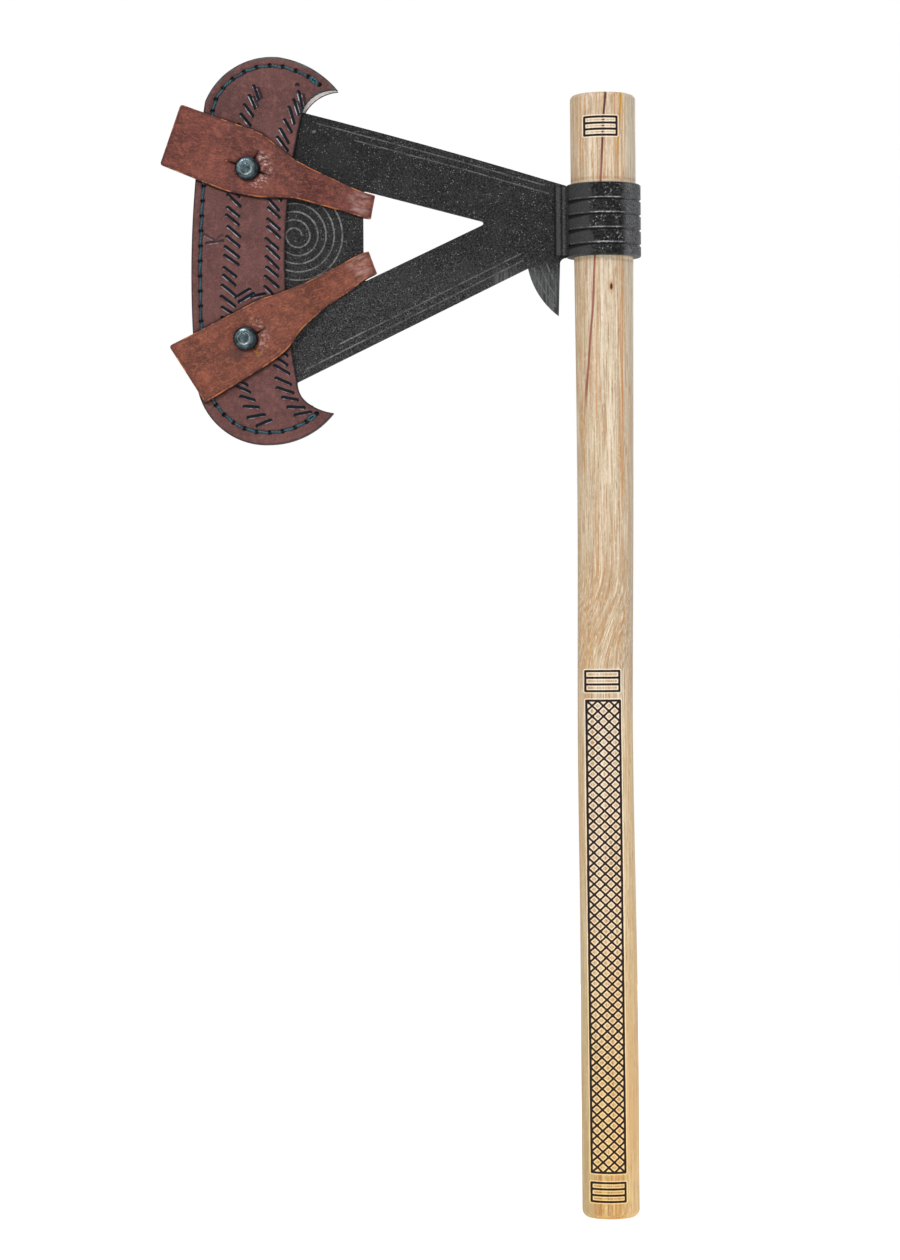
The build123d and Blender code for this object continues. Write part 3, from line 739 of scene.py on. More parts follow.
def coat_ring(s, grains, pits, hammered, on_ring):
    """Smooth on the left, hammered with painted glints in the middle, and painted lighter on the right,
    with grey specks.
    """
    band = s.mix(s.ramp(grains, 0.3, 0.7), srgb(46, 46, 47), srgb(66, 66, 67))
    # the ring's right side is painted lighter, as painted light, with grey specks
    speckled_light = s.mix(s.ramp(grains, 0.36, 0.64), srgb(54, 54, 55), srgb(108, 108, 110))
    band = s.mix(s.ramp(s.x, 0.0085, 0.0135), band, speckled_light)
    rough_band = s.mix(s.ramp(pits, 0.44, 0.60), srgb(6, 6, 7), srgb(64, 64, 65))
    rough_band = s.mix(s.ramp(s.noise(210), 0.44, 0.60, 0.0, 0.7), rough_band, BLOT_AND_SHADOW_BLACK)
    # painted glints: painted highlights among the hammered pits
    glints = s.times(s.ramp(pits, 0.60, 0.68), s.ramp(s.noise(170), 0.50, 0.62))
    rough_band = s.mix(glints, rough_band, srgb(196, 196, 194))
    band = s.mix(hammered, band, rough_band)
    # a painted shadow under each turned groove, black, narrowing away from the plate
    below = s.math("DIVIDE", s.math("SUBTRACT", s.z, (FIRST_GROOVE - GROOVE_PITCH) * MM), GROOVE_PITCH * MM)
    groove_shadow = s.ramp(s.math("SUBTRACT", s.math("FRACT", below), s.scaled(s.x, 15.0, 0.985)), -0.04, 0.04)
    groove_shadow = s.times(groove_shadow, s.ramp(s.x, -0.004, -0.008), s.ramp(s.z, 0.5505, 0.5495, 0.0, 0.8))
    s.layer(s.mix(groove_shadow, band, BLOT_AND_SHADOW_BLACK), on_ring)


def paint_groove_light_and_shade(s, pits, hammered, on_ring):
    """Painted light and shade in the turned grooves: a patchy painted highlight on the upper walls and
    black painted shade on the lower walls, fading to the right.
    """
    up = s.normals[2]
    off = s.off(s.z, GROOVES_MIDDLE * MM)
    in_grooves = s.ramp(off, GROOVES_HALF * MM + 0.0005, GROOVES_HALF * MM)
    wall = s.times(on_ring, in_grooves, s.ramp(s.x, 0.0125, 0.0075, 0.25, 1.0))
    patchy = s.times(s.ramp(pits, 0.35, 0.6, 0.35, 1.0), s.ramp(s.noise(230), 0.38, 0.58, 0.4, 1.0))
    groove_highlight_tone = s.mix(hammered, srgb(110, 110, 110), srgb(190, 190, 190))
    # painted highlight on the grooves' upper walls
    s.layer(groove_highlight_tone, wall, s.ramp(up, -0.2, -0.5), patchy)
    # painted shade on the grooves' lower walls
    s.layer(srgb(9, 9, 10), wall, s.ramp(up, 0.2, 0.5))


def paint_weld_light_and_shade(s, grains):
    above_ring_foot = s.ramp(s.z, 0.5185, 0.5200)
    patchy = s.ramp(grains, 0.25, 0.55, 0.55, 1.0)
    # painted light on the weld bead's strips and painted shade in the dark lines beside them
    for centre, reach, tone, strength in WELD_LIGHT_AND_SHADE_STRIPS:
        strip = s.ramp(s.off(s.x, centre), 0.35 * reach, reach, strength, 0.0)
        s.layer(tone, strip, patchy, above_ring_foot)


def scrape_engraving(s, depth, facing):
    """The floor of the engraved lines is scraped grey, and most so beside the spiral."""
    floor = s.times(s.ramp(depth, 0.00146, 0.00138), s.ramp(facing, 0.99, 0.998))
    on_plate = s.ramp(s.x, -0.0250, -0.0265)
    by_spiral = s.times(s.ramp(s.x, -0.128, -0.134), s.ramp(s.z, 0.565, 0.560))
    line_tone = s.mix(by_spiral, srgb(112, 112, 112), srgb(140, 140, 138))
    scraped = s.ramp(s.noise(700, detail=3, rough=0.7), 0.36, 0.6, 0.35, 1.0)
    s.layer(line_tone, floor, on_plate, scraped, s.ramp(s.noise(110), 0.36, 0.56, 0.5, 1.0))


def grind_bevel(s, depth, facing):
    """Bare scratched steel on the ground bevel along the cutting edge."""
    ground = s.times(s.ramp(depth, 0.00157, 0.00154), s.ramp(facing, 0.9925, 0.990))
    ground = s.times(ground, s.ramp(facing, 0.8, 0.9), s.ramp(s.x, -0.145, -0.15))
    scratches = s.ramp(s.noise((90, 90, 2600), detail=3), 0.35, 0.65)
    s.layer(s.mix(scratches, srgb(128, 130, 133), srgb(176, 178, 180)), ground)
    return ground


# ---- leather, thread and small metal ----
def leather_material(name, tones, stamped=False):
    """Vegetable-tanned leather: mottled dye, pores, burnished edges and a pale flesh side."""
    s = Shader(name, specular=0.25)
    dark, middle, light, edge, flesh = tones
    dye = s.noise(280, detail=3, rough=0.65)
    grain = s.noise(1100, detail=3, rough=0.7)
    pores = s.cells(900)
    s.colour = s.mix(s.ramp(s.noise(42, detail=4), 0.3, 0.7), dark, middle)
    s.layer(light, s.ramp(dye, 0.45, 0.72, 0.0, 0.6))
    s.layer(light, s.ramp(grain, 0.5, 0.68, 0.0, 0.65))
    s.layer(dark, s.ramp(grain, 0.5, 0.32, 0.0, 0.65))
    s.layer(dark, s.ramp(pores, 0.2, 0.05, 0.0, 0.5))
    outer = s.kept("outer_face")
    flesh_side = s.mix(s.ramp(dye, 0.4, 0.7, 0.0, 0.06), flesh, middle)
    s.colour = s.mix(outer, flesh_side, s.colour)
    from_edge = s.math("ADD", s.kept("edge_distance"), s.scaled(dye, 0.9, -0.45))
    s.layer(edge, s.ramp(from_edge, 0.2, 1.2, 0.92, 0.0), outer)
    s.layer(srgb(112, 56, 30), s.ramp(from_edge, 0.6, 0.3), s.ramp(outer, 0.3, 0.05))
    s.layer(edge, s.ramp(s.kept("edge_distance"), 0.03, 0.12, 0.95, 0.0))
    roughness = s.ramp(grain, 0.3, 0.7, 0.5, 0.68)
    if stamped:
        work_guard(s, dark, dye, from_edge, outer)
        roughness = paint_dash_shade_and_highlight(s, dye, roughness)
        # painted shade along the seam's groove
        s.layer(srgb(40, 26, 28), s.ramp(s.kept("seam_distance"), 0.5, 1.15, 0.75, 0.0), outer)
        # painted shadow of the straps' tabs along their edges
        s.layer(srgb(24, 14, 16), s.ramp(s.kept("strap_distance"), 0.2, 1.5, 0.8, 0.0), outer)
    height = s.math("ADD", s.times(grain, 0.7), s.ramp(pores, 0.05, 0.3, 0.0, 0.6))
    return s.finish(s.bump(height, 0.0001, 0.9), roughness)


def work_guard(s, dark, dye, from_edge, outer):
    """Blue-green painted sheen along the upper horn's burnished edge, and painted shade round and in the
    stitch holes, black in the holes.
    """
    patchy = s.ramp(s.noise(330, detail=3), 0.44, 0.62, 0.1, 0.75)
    # painted sheen, blue-green, on the upper horn's burnished edge
    s.layer(srgb(62, 96, 100), s.ramp(from_edge, 1.5, 0.6), s.ramp(s.z, 0.600, 0.618), patchy)
    hole = s.kept("hole_distance")
    # painted shade round each stitch hole, and black painted shade in it
    s.layer(dark, s.ramp(hole, 1.1, 2.1, 0.55, 0.0), outer)
    s.layer(srgb(6, 6, 8), s.ramp(hole, 1.6, 1.15))


def paint_dash_shade_and_highlight(s, dye, roughness):
    """Each dash is cut with a lean: black painted shade above and right of its line, and below it a raised
    lip with a painted highlight and dark red-brown painted shade beyond that.
    """
    jitter = s.scaled(dye, 0.4, -0.2)
    across = s.math("ADD", s.kept("stamp_across"), jitter)
    beside = s.math("ADD", s.kept("stamp_distance"), jitter)
    strength = s.kept("stamp_strength")
    # dark red-brown painted shade beyond the painted highlight
    s.layer(srgb(84, 30, 24), s.ramp(beside, 1.1, 1.6, 0.6, 0.0), s.ramp(across, -0.4, -0.9), strength)
    # the dash's inside: painted shade, blue-black
    pressed = s.times(s.ramp(beside, 1.22, 0.98), s.ramp(across, -0.55, -0.3), strength)
    s.layer(s.mix(dye, srgb(0, 2, 6), srgb(12, 32, 44)), pressed)
    # painted highlight on the raised lip, stronger higher up
    lit = s.times(s.ramp(across, -0.35, -0.6), s.ramp(across, -1.1, -0.85), s.ramp(beside, 1.2, 1.0))
    patchy = s.ramp(s.noise(260), 0.42, 0.6, 0.05, 1.0)
    s.layer(srgb(176, 184, 192), lit, strength, patchy, s.ramp(s.z, 0.47, 0.58, 0.35, 0.9))
    return s.scaled(pressed, 0.3, roughness)


def strap_material(name, tones):
    """Waxed strap leather, with fibres along the strap, gloss and a painted highlight at the fold, and
    bright worn edges.
    """
    s = Shader(name, specular=0.3)
    dark, middle, light = tones
    outer = s.kept("outer_face")
    flat = s.combined(s.kept("strap_along"), s.kept("strap_across"), s.times(outer, 0.05))
    mottle = s.noise((38, 60, 20), detail=4, rough=0.6, places=flat)
    blotches = s.noise((170, 210, 20), detail=3, rough=0.6, places=flat)
    fibres = s.noise((330, 900, 20), detail=4, rough=0.65, places=flat, turn=(0, 0, 0.5))
    grain = s.noise(1150, detail=3, rough=0.7, places=flat)
    s.colour = s.mix(s.ramp(mottle, 0.34, 0.64), dark, middle)
    s.layer(light, s.ramp(blotches, 0.5, 0.7, 0.0, 0.5))
    s.layer(dark, s.ramp(blotches, 0.5, 0.3, 0.0, 0.45))
    s.layer(light, s.ramp(fibres, 0.48, 0.70, 0.0, 0.6))
    s.layer(light, s.ramp(grain, 0.5, 0.70, 0.0, 0.65))
    s.layer(dark, s.ramp(grain, 0.5, 0.32, 0.0, 0.7))
    flesh = s.mix(s.ramp(fibres, 0.34, 0.66), srgb(96, 62, 46), srgb(150, 108, 82))
    flesh = s.mix(s.ramp(blotches, 0.5, 0.7, 0.0, 0.6), flesh, srgb(122, 78, 54))
    flesh = s.mix(s.ramp(grain, 0.5, 0.68, 0.0, 0.6), flesh, srgb(178, 138, 110))
    s.colour = s.mix(outer, flesh, s.colour)
    shine = wear_strap(s, flat)
    wear_strap_edges(s, flat, fibres, grain, dark)
    height = s.math("ADD", s.times(grain, 0.5), s.times(fibres, 0.8))
    roughness = s.math("SUBTRACT", s.ramp(grain, 0.3, 0.7, 0.46, 0.62), s.times(shine, 0.15))
    return s.finish(s.bump(height, 0.00012, 0.9), roughness)


def wear_strap(s, flat):
    """Gloss with a painted sheen beside the fold, a painted highlight along the fold's bend, cracked
    creases by the stud and a dark smudge.
    """
    fold = s.kept("fold_distance")
    patchy = s.ramp(s.noise((150, 420, 20), detail=4, places=flat), 0.36, 0.68)
    shine = s.times(s.ramp(fold, 1.0, 5.0), s.ramp(fold, 17.0, 8.0), patchy)
    # painted sheen beside the fold
    s.layer(srgb(206, 172, 166), shine, 0.36)
    # painted highlight along the fold's bend
    s.layer(srgb(214, 178, 160), s.ramp(fold, 1.5, -2.0, 0.0, 0.45))
    specks = s.ramp(s.noise((700, 900, 30), places=flat), 0.48, 0.62)
    s.layer(srgb(206, 170, 162), s.kept("wear"), specks, 0.8)
    s.layer(srgb(58, 34, 32), s.kept("smudge"))
    return shine


def wear_strap_edges(s, flat, fibres, grain, dark):
    """A dark bevel, and a rim rubbed to bright leather in places, away from the button hole."""
    from_edge = s.math("ADD", s.kept("edge_distance"), s.scaled(fibres, 0.8, -0.4))
    rubbed = s.ramp(s.noise((110, 110, 20), detail=4, rough=0.75, places=flat), 0.46, 0.58, 0.0, 0.8)
    s.layer(dark, s.ramp(from_edge, 1.9, 1.1), s.ramp(grain, 0.3, 0.5, 0.4, 1.0), 0.5)
    rim = s.times(s.ramp(from_edge, 0.85, 0.35), s.ramp(grain, 0.3, 0.5, 0.5, 1.0))
    s.layer(dark, rim, 0.75)
    s.layer(srgb(194, 116, 64), rim, rubbed, s.ramp(s.kept("stud_distance"), 12.0, 13.5))
    s.layer(srgb(236, 168, 52), s.kept("raw_slit"))


def thread_material():
    """Dark blue-green waxed thread."""
    s = Shader("thread", specular=0.4)
    fuzz = s.noise(2400)
    s.colour = s.mix(s.ramp(fuzz, 0.35, 0.65), srgb(8, 32, 42), srgb(42, 104, 118))
    s.layer(srgb(14, 32, 42), s.ramp(s.noise(150), 0.45, 0.65, 0.0, 0.6))
    return s.finish(s.bump(fuzz, 0.00008))


def metal_material(name, dark, light, roughness, turned=False):
    """Blued, handled steel. A turned piece has painted shade on its rim and a painted highlight, a bright
    ring, round its face.
    """
    s = Shader(name, metallic=0.85)
    smear = s.noise(320, detail=4, rough=0.65)
    spots = s.noise(1400, detail=3)
    s.colour = s.mix(s.ramp(smear, 0.36, 0.64), dark, light)
    s.layer(dark, s.ramp(spots, 0.55, 0.72, 0.0, 0.5))
    if turned:
        radius = s.kept("turned_radius")
        # painted shade on the turned rim
        s.layer(srgb(16, 24, 30), s.ramp(radius, 4.5, 5.6, 0.0, 0.8))
        # painted highlight: a bright ring round the face
        ring = s.times(s.ramp(radius, 2.8, 3.05), s.ramp(radius, 3.65, 3.4))
        s.layer(srgb(176, 180, 168), ring, s.ramp(smear, 0.4, 0.55, 0.35, 0.85))
    gloss = s.ramp(spots, 0.3, 0.7, roughness - 0.1, roughness + 0.12)
    return s.finish(s.bump(s.math("ADD", smear, spots), 0.00006, 0.7), gloss)


# ---- haft ----
LATTICE_PITCH = (6.0, 5.64)
LATTICE_TOP, LATTICE_ROWS, LATTICE_COLUMNS, LATTICE_THINNER = 279.3, 45, 3, 0.07
# the lattice's middle at its top, and how far it drifts to the right for each millimetre down
LATTICE_MIDDLE, LATTICE_DRIFT = -2.7, 0.004
# (lowest line, highest line, middle, width) of each box of three bands
MARK_BOXES = ((583.1, 592.9, -1.9, 17.3), (284.4, 295.2, -3.0, 18.2), (9.9, 20.0, -1.8, 18.2))
MARK_LIMIT = 4.0
BURN_DEPTH = 0.3
# how far from a burned line the wood is untouched, and how near it is burned deepest
BURN_CLEAR, BURN_DEEPEST = 0.75, 0.3
# how far the haft bows at most, at what height, and how far from there the bow is spent
BOW, BOW_HEIGHT, BOW_REACH = -1.1, 258.0, 88.0
# the heights between which the profile is plain, marked, plain, marked and plain
MARKED_HEIGHTS = (9.0, 296.2, 581.4, 594.1)
PLAIN_STEP, MARKED_STEP = 2.4, 0.36
# between these degrees from the front the haft has a column at each MARKED_TURN
MARKED_FROM, MARKED_TO, MARKED_TURN, PLAIN_COLUMNS = -62, 38, 1.3, 60


def box_distance(x, z, half_width, low, high):
    """Distance to the outline of a box and to the two lines that part it into three bands."""
    across = np.maximum(np.abs(x) - half_width, 0)
    best = np.full(len(x), FAR)
    for level in np.linspace(low, high, 4):
        best = np.minimum(best, np.hypot(across, z - level))
    along = np.maximum(np.maximum(low - z, z - high), 0)
    return np.minimum(best, np.hypot(along, np.abs(x) - half_width))


def mark_distance(x, y, z):
    """Distance in millimetres to the nearest burned line. The marks are burned square to the front."""
    best = np.full(len(x), MARK_LIMIT)
    for low, high, centre, width in MARK_BOXES:
        best = np.minimum(best, box_distance(x - centre, z, width / 2, low, high))
    pitch_x, pitch_z = LATTICE_PITCH
    height, half = LATTICE_ROWS * pitch_z, LATTICE_COLUMNS * pitch_x / 2
    centre = LATTICE_MIDDLE + LATTICE_DRIFT * (LATTICE_TOP - z)
    across, down = (x - centre + half) / pitch_x, (LATTICE_TOP - z) / pitch_z
    inside = (np.abs(x - centre) < half) & (down > 0) & (down < LATTICE_ROWS)
    per_line = 1 / math.hypot(1 / pitch_x, 1 / pitch_z)
    for family in (across + down, across - down):
        lines = np.abs(family - np.round(family)) * per_line + LATTICE_THINNER
        best = np.where(inside, np.minimum(best, lines), best)
    out_x = np.maximum(np.abs(x - centre) - half, 0)
    out_z = np.maximum(np.maximum(-down, down - LATTICE_ROWS), 0) * pitch_z
    edge_x = np.hypot(np.abs(x - centre) - half, out_z)
    edge_z = np.hypot(np.minimum(np.abs(down), np.abs(down - LATTICE_ROWS)) * pitch_z, out_x)
    best = np.minimum(best, np.minimum(edge_x, edge_z))
    return np.where(y < 0, best, MARK_LIMIT)


def haft_radius(z):
    """The turned profile between the two rounded ends."""
    if z <= GRIP_TOP:
        return GRIP_RADIUS
    if z <= SHOULDER_HEIGHT:
        heights = (GRIP_TOP, WAIST_HEIGHT, SHOULDER_HEIGHT)
        radii = (GRIP_RADIUS, WAIST_RADIUS, SHOULDER_RADIUS)
        total = 0.0
        for i, radius in enumerate(radii):
            share = radius
            for j, height in enumerate(heights):
                if i != j:
                    share *= (z - height) / (heights[i] - height)
            total += share
        return total
    knots = (
        (SHOULDER_HEIGHT, SHOULDER_RADIUS), (EYE_BOTTOM, EYE_BOTTOM_RADIUS),
        (EYE_TOP, EYE_TOP_RADIUS), (HAFT_LENGTH, TOP_RADIUS),
    )
    return float(np.interp(z, [k[0] for k in knots], [k[1] for k in knots]))


def haft_bow(z):
    """How far the old haft bows towards the cutting edge."""
    return BOW * np.exp(-(((z - BOW_HEIGHT) / BOW_REACH) ** 2))


def haft_profile():
    """(radius, height) from the foot's centre to the top's, fine where marks are burned."""
    foot, top = GRIP_RADIUS - FOOT_ROUND, TOP_RADIUS - TOP_ROUND
    profile = [(foot * share, 0.0) for share in (0.0, 0.3, 0.6, 0.85)]
    for angle in np.linspace(0, math.pi / 2, 9):
        profile.append((foot + FOOT_ROUND * math.sin(angle), FOOT_ROUND * (1 - math.cos(angle))))
    stops = (FOOT_ROUND, *MARKED_HEIGHTS, HAFT_LENGTH - TOP_ROUND)
    for index, (low, high) in enumerate(zip(stops, stops[1:])):
        count = math.ceil((high - low) / (MARKED_STEP if index % 2 else PLAIN_STEP))
        heights = [low + (high - low) * i / count for i in range(1, count + 1)]
        profile += [(haft_radius(z), z) for z in heights]
    for angle in np.linspace(0, math.pi / 2, 8)[1:]:
        profile.append((
            top + TOP_ROUND * math.cos(angle), HAFT_LENGTH - TOP_ROUND * (1 - math.sin(angle)),
        ))
    return profile + [(top * share, HAFT_LENGTH) for share in (0.85, 0.6, 0.3, 0.0)]


def make_haft(material):
    front = math.radians(-90)
    ends = front + math.radians(MARKED_FROM), front + math.radians(MARKED_TO)
    marked = np.arange(*ends, math.radians(MARKED_TURN))
    plain = np.linspace(marked[-1], marked[0] + math.tau, PLAIN_COLUMNS)[1:-1]

    def place(x, y, z):
        away = mark_distance(x + haft_bow(z), y, z)
        radius = np.maximum(np.hypot(x, y), 1e-9)
        pressed = BURN_DEPTH * smoothstep(away, BURN_CLEAR, BURN_DEEPEST)
        shrink = 1 - np.minimum(pressed / radius, 0.5)
        return np.column_stack((x * shrink + haft_bow(z), y * shrink, z))

    haft = lathe("haft_turned", haft_profile(), np.concatenate((marked, plain)), place)
    places = np.array([v.co for v in haft.data.vertices]) / MM
    store(haft, "mark_distance", mark_distance(*places.T))
    finish_piece(haft, material, "axe", "haft")


# ---- leather guard ----
# Two columns of pressed dashes run round the guard: (x, z, heading in degrees) along each.
DASH_LENGTH, DASH_PITCH = 8.2, 5.4
DASH_COLUMNS = (
    ((-187.6, 609.0, -68), (-192.0, 598.0, -56), (-199.5, 575.0, -50), (-200.0, 552.0, -43),
     (-200.4, 530.0, -40), (-202.3, 510.0, -39), (-203.0, 494.0, -37), (-203.5, 470.0, -34),
     (-196.9, 451.8, -26), (-191.5, 440.5, -8), (-188.3, 433.5, 14), (-184.0, 430.2, 26)),
    ((-163.2, 605.2, -78), (-169.0, 595.5, -70), (-173.2, 582.0, -57), (-177.6, 560.0, -50),
     (-178.6, 540.0, -45), (-179.4, 520.0, -44), (-180.4, 503.0, -42), (-177.0, 480.0, -36),
     (-174.6, 462.0, -33), (-173.4, 450.0, -22), (-169.0, 440.0, -6), (-163.4, 435.4, 9)),
)
TWIN_ABOVE, TWIN_OFFSET = 601.0, 2.1
# the distance that stands for no dash near, and the lanes of points along each dash
NO_DASH, DASH_STEP, DASH_LANES = 9.0, 0.45, (-1.25, -0.8, -0.4, 0.0, 0.4, 0.8, 1.25)
OUT_OF_REACH = 4.0
HOLE_RINGS, HOLE_COLUMNS, HOLE_REACH = (0.4, 0.75, 1.05, 1.4), 10, 1.5
# how far a panel falls into a stitch hole, along the seam and in a dash, and rises beside a dash
HOLE_DEPTH, SEAM_DEPTH, DASH_DEPTH, DASH_RIDGE, PANEL_RIPPLE = 1.2, 0.28, 0.45, 0.14, 0.12
THREAD_RADIUS, THREAD_COLUMNS, PLY_TWIST, PLY_DEPTH, THREAD_FLATNESS = 0.58, 10, 1.9, 0.22, 0.85
# (x, z, heading, length, strength) of the marks away from the columns
LOOSE_DASHES = (
    (-195.3, 500.6, 30, 8.3, 1.0), (-193.4, 498.2, 30, 8.6, 1.0), (-187.0, 499.4, 12, 7.3, 1.0),
    (-210.4, 528.4, 8, 8.4, 0.7), (-213.5, 531.2, -28, 5.0, 0.45), (-208.2, 530.4, 40, 4.2, 0.45),
    (-165.1, 613.1, 0, 0.5, 0.9),
)


def dash_list():
    """(x, z, heading, length, strength) of every dash, with a hand's unevenness."""
    dashes = []
    for column in DASH_COLUMNS:
        knots = np.array(column, float)
        travelled = travelled_along(knots[:, :2])
        count = round(travelled[-1] / DASH_PITCH)
        for index in range(count + 1):
            at = travelled[-1] * index / count + chance.uniform(-0.7, 0.7)
            x, z, heading = (float(np.interp(at, travelled, knots[:, k])) for k in range(3))
            length = DASH_LENGTH * chance.uniform(0.86, 1.1)
            x, heading = x + chance.uniform(-0.5, 0.5), heading + chance.uniform(-4, 4)
            dashes.append((x, z, heading, length, 1.0))
            if z > TWIN_ABOVE:
                # the stamp slipped here and struck twice
                turn = math.radians(heading)
                beside = (x - TWIN_OFFSET * math.sin(turn), z + TWIN_OFFSET * math.cos(turn) - 0.8)
                dashes.append((*beside, heading + chance.uniform(-3, 3), 0.7 * length, 0.7))
    return dashes + list(LOOSE_DASHES)


def stamp_fields(flat, dashes):
    """Distance to the nearest dash, how far up and right of its line a point lies, and its strength."""
    nearest, across, depth = (np.full(len(flat), value) for value in (NO_DASH, NO_DASH, 0.0))
    for x, z, heading, length, strength in dashes:
        along = direction(heading)
        offset = flat - (x, z)
        run, side = offset @ along, offset @ left_of(along)
        beyond = np.maximum(np.abs(run) - length / 2, 0)
        reach = np.hypot(beyond, side)
        closer = reach < nearest
        nearest = np.where(closer, reach, nearest)
        across = np.where(closer, np.where(beyond > 0.4, 0, side), across)
        depth = np.where(closer, strength, depth)
    return nearest, across, depth


def stitch_points():
    """Where the thread passes through the guard, from the upper tip round to the lower one."""
    edge = arcs_outline(GUARD_OUTER_ARCS, 0.1)
    edge = np.vstack((edge, (GUARD_OUTER_ARCS[-1][2],)))
    travelled = travelled_along(edge)
    seam_length = travelled[-1] - UPPER_SEAM_END - LOWER_SEAM_END
    count = round(seam_length / STITCH_PITCH)
    points = []
    for index in range(count + 1):
        at = UPPER_SEAM_END + seam_length * index / count
        here, ahead = (
            np.array([np.interp(place, travelled, edge[:, k]) for k in (0, 1)])
            for place in (at, at + 0.2)
        )
        heading = (ahead - here) / np.linalg.norm(ahead - here)
        towards_lower = min(max((at / travelled[-1] - INSET_CHANGE_FROM) / INSET_CHANGE_OVER, 0), 1)
        inset = STITCH_INSET + (LOWER_HORN_INSET - STITCH_INSET) * towards_lower
        points.append(here + inset * left_of(heading))
    return np.array(points)


def dash_points(x, z, heading, length):
    """Rows of points along a pressed dash, a little longer than the dash."""
    along = direction(heading)
    steps = np.arange(-length / 2 - 2 * DASH_STEP, length / 2 + 2 * DASH_STEP + 0.05, DASH_STEP)
    middle = np.array((x, z))
    rows = [middle + steps[:, None] * along + lane * left_of(along) for lane in DASH_LANES]
    return np.vstack(rows), middle, 0.0


def make_panel(name, side, mouth_arcs, spacing, dashes, holes_at, material, node):
    """One leather panel of the guard. side is -1 for the decorated front and 1 for the back."""
    outline = arcs_outline(GUARD_OUTER_ARCS + mouth_arcs, 0.7)
    fine = [
        (np.vstack((centre, *points_round(centre, HOLE_RINGS, HOLE_COLUMNS))), centre, HOLE_REACH)
        for centre in holes_at
    ]
    fine += [dash_points(*dash[:-1]) for dash in dashes]

    def outer(flat):
        seam = distance_to(flat, holes_at, closed=False)
        to_hole = distance_to_centres(flat, holes_at)
        nearest, _, depth = stamp_fields(flat, dashes)
        lift = PANEL_RIPPLE * ripple(flat, 34.0, 3) - SEAM_DEPTH * smoothstep(seam, 2.2, 0.4)
        lift -= HOLE_DEPTH * smoothstep(to_hole, 1.3, 0.5)
        lift -= DASH_DEPTH * depth * smoothstep(nearest, 0.95, 0.35)
        lift += DASH_RIDGE * depth * np.exp(-(((nearest - 1.2) / 0.35) ** 2))
        return PANEL_OUTER + lift

    def inner(flat):
        return np.full(len(flat), PANEL_INNER)

    def place(flat, depth):
        return np.column_stack((flat[:, 0], side * depth, flat[:, 1]))

    panel, flat = sheet(name, outline, [], fine, spacing, outer, inner, place, 0.8)
    nearest, across, depth = stamp_fields(flat, dashes)
    tabs = [np.array(strap["tab_top"] + strap["tab_bottom"]) for strap in STRAPS.values()]
    # the straps' tabs cast their painted shadow only on the front panel
    to_strap = distance_to_loops(flat, tabs) + (OUT_OF_REACH if side > 0 else 0)
    for field, on_outer, on_inner in (
        ("hole_distance", distance_to_centres(flat, holes_at), None),
        ("seam_distance", distance_to(flat, holes_at, closed=False), None),
        ("stamp_distance", nearest, np.full(len(flat), NO_DASH)),
        ("stamp_across", across, np.zeros(len(flat))),
        ("stamp_strength", depth, None),
        ("strap_distance", to_strap, None),
    ):
        store(panel, field, np.concatenate((on_outer, on_outer if on_inner is None else on_inner)))
    if side > 0:
        panel.data.flip_normals()
    finish_piece(panel, material, "guard", node)


def add_thread(vertices, faces, path, over, side):
    """Adds a two-ply thread along path, given as (flat point, depth), to a mesh on one face."""
    around, first, travelled = THREAD_COLUMNS, len(vertices), 0.0
    for step, (centre, depth) in enumerate(path):
        if step:
            travelled += np.linalg.norm(centre - path[step - 1][0])
        for turn in range(around):
            angle = math.tau * turn / around
            ply = PLY_DEPTH * math.cos(2 * (angle - PLY_TWIST * travelled))
            reach = THREAD_RADIUS * (1 + ply)
            flat = centre + over * reach * math.cos(angle)
            raised = depth + THREAD_FLATNESS * reach * math.sin(angle)
            vertices.append((flat[0], side * raised, flat[1]))
    rings = len(path)
    for step in range(rings - 1):
        for turn in range(around):
            beside = (turn + 1) % around
            quad = (
                first + step * around + turn, first + step * around + beside,
                first + (step + 1) * around + beside, first + (step + 1) * around + turn,
            )
            faces.append(quad if side < 0 else quad[::-1])
    caps = tuple(first + turn for turn in range(around))
    tips = tuple(first + (rings - 1) * around + turn for turn in range(around))
    faces += [caps[::-1], tips] if side < 0 else [caps, tips[::-1]]


def make_stitching(points, material):
    """One raised stitch from each hole to the next, on both faces, and a doubled one at each end."""
    steps = 26
    vertices, faces = [], []
    for side in (-1, 1):
        for index, (here, there) in enumerate(zip(points, points[1:])):
            heading = (there - here) / np.linalg.norm(there - here)
            over = left_of(heading)
            # the holes are punched with a lean, so the stitches zigzag a little
            start = here + heading * 0.5 + over * 0.3
            end = there - heading * 0.5 - over * 0.3
            bows = [chance.uniform(-0.2, 0.2)]
            if index in (0, len(points) - 2):
                bows = [-0.85, 0.85]
            for bow in bows:
                path = []
                for share in np.linspace(0, 1, steps):
                    rise = float(smoothstep(np.array(min(share, 1 - share)), 0.0, 0.12))
                    arch = math.sin(math.pi * share)
                    depth = PANEL_OUTER - 1.1 + 1.3 * rise + 0.08 * arch
                    path.append((start + (end - start) * share + over * bow * arch, depth))
                add_thread(vertices, faces, path, over, side)
    stitching = add_object("guard_thread", vertices, faces)
    finish_piece(stitching, material, "guard", "sheath_stitching")


# ---- straps ----
BEND_END = -math.pi * STRAP_LOW_MIDDLE
BUTTON_HOLE_RADIUS, STRAP_EDGE_ROUND = 5.7, 0.55
# corner radii of the laid-out strap, and how far straight it is on both sides of the bend
GENTLE, TAIL_CORNER, TAB_CORNER, BEND_MARGIN = 40.0, 9.0, 1.6, 2.0
CURL, CURL_CLEAR_OF_STUD = 2.6, 12.0
CREASES, CREASE_HEIGHT, BUTTON_DIP = 13, 0.22, 0.35
FINE_RADII = np.arange(6.6, 14.0, 0.55)


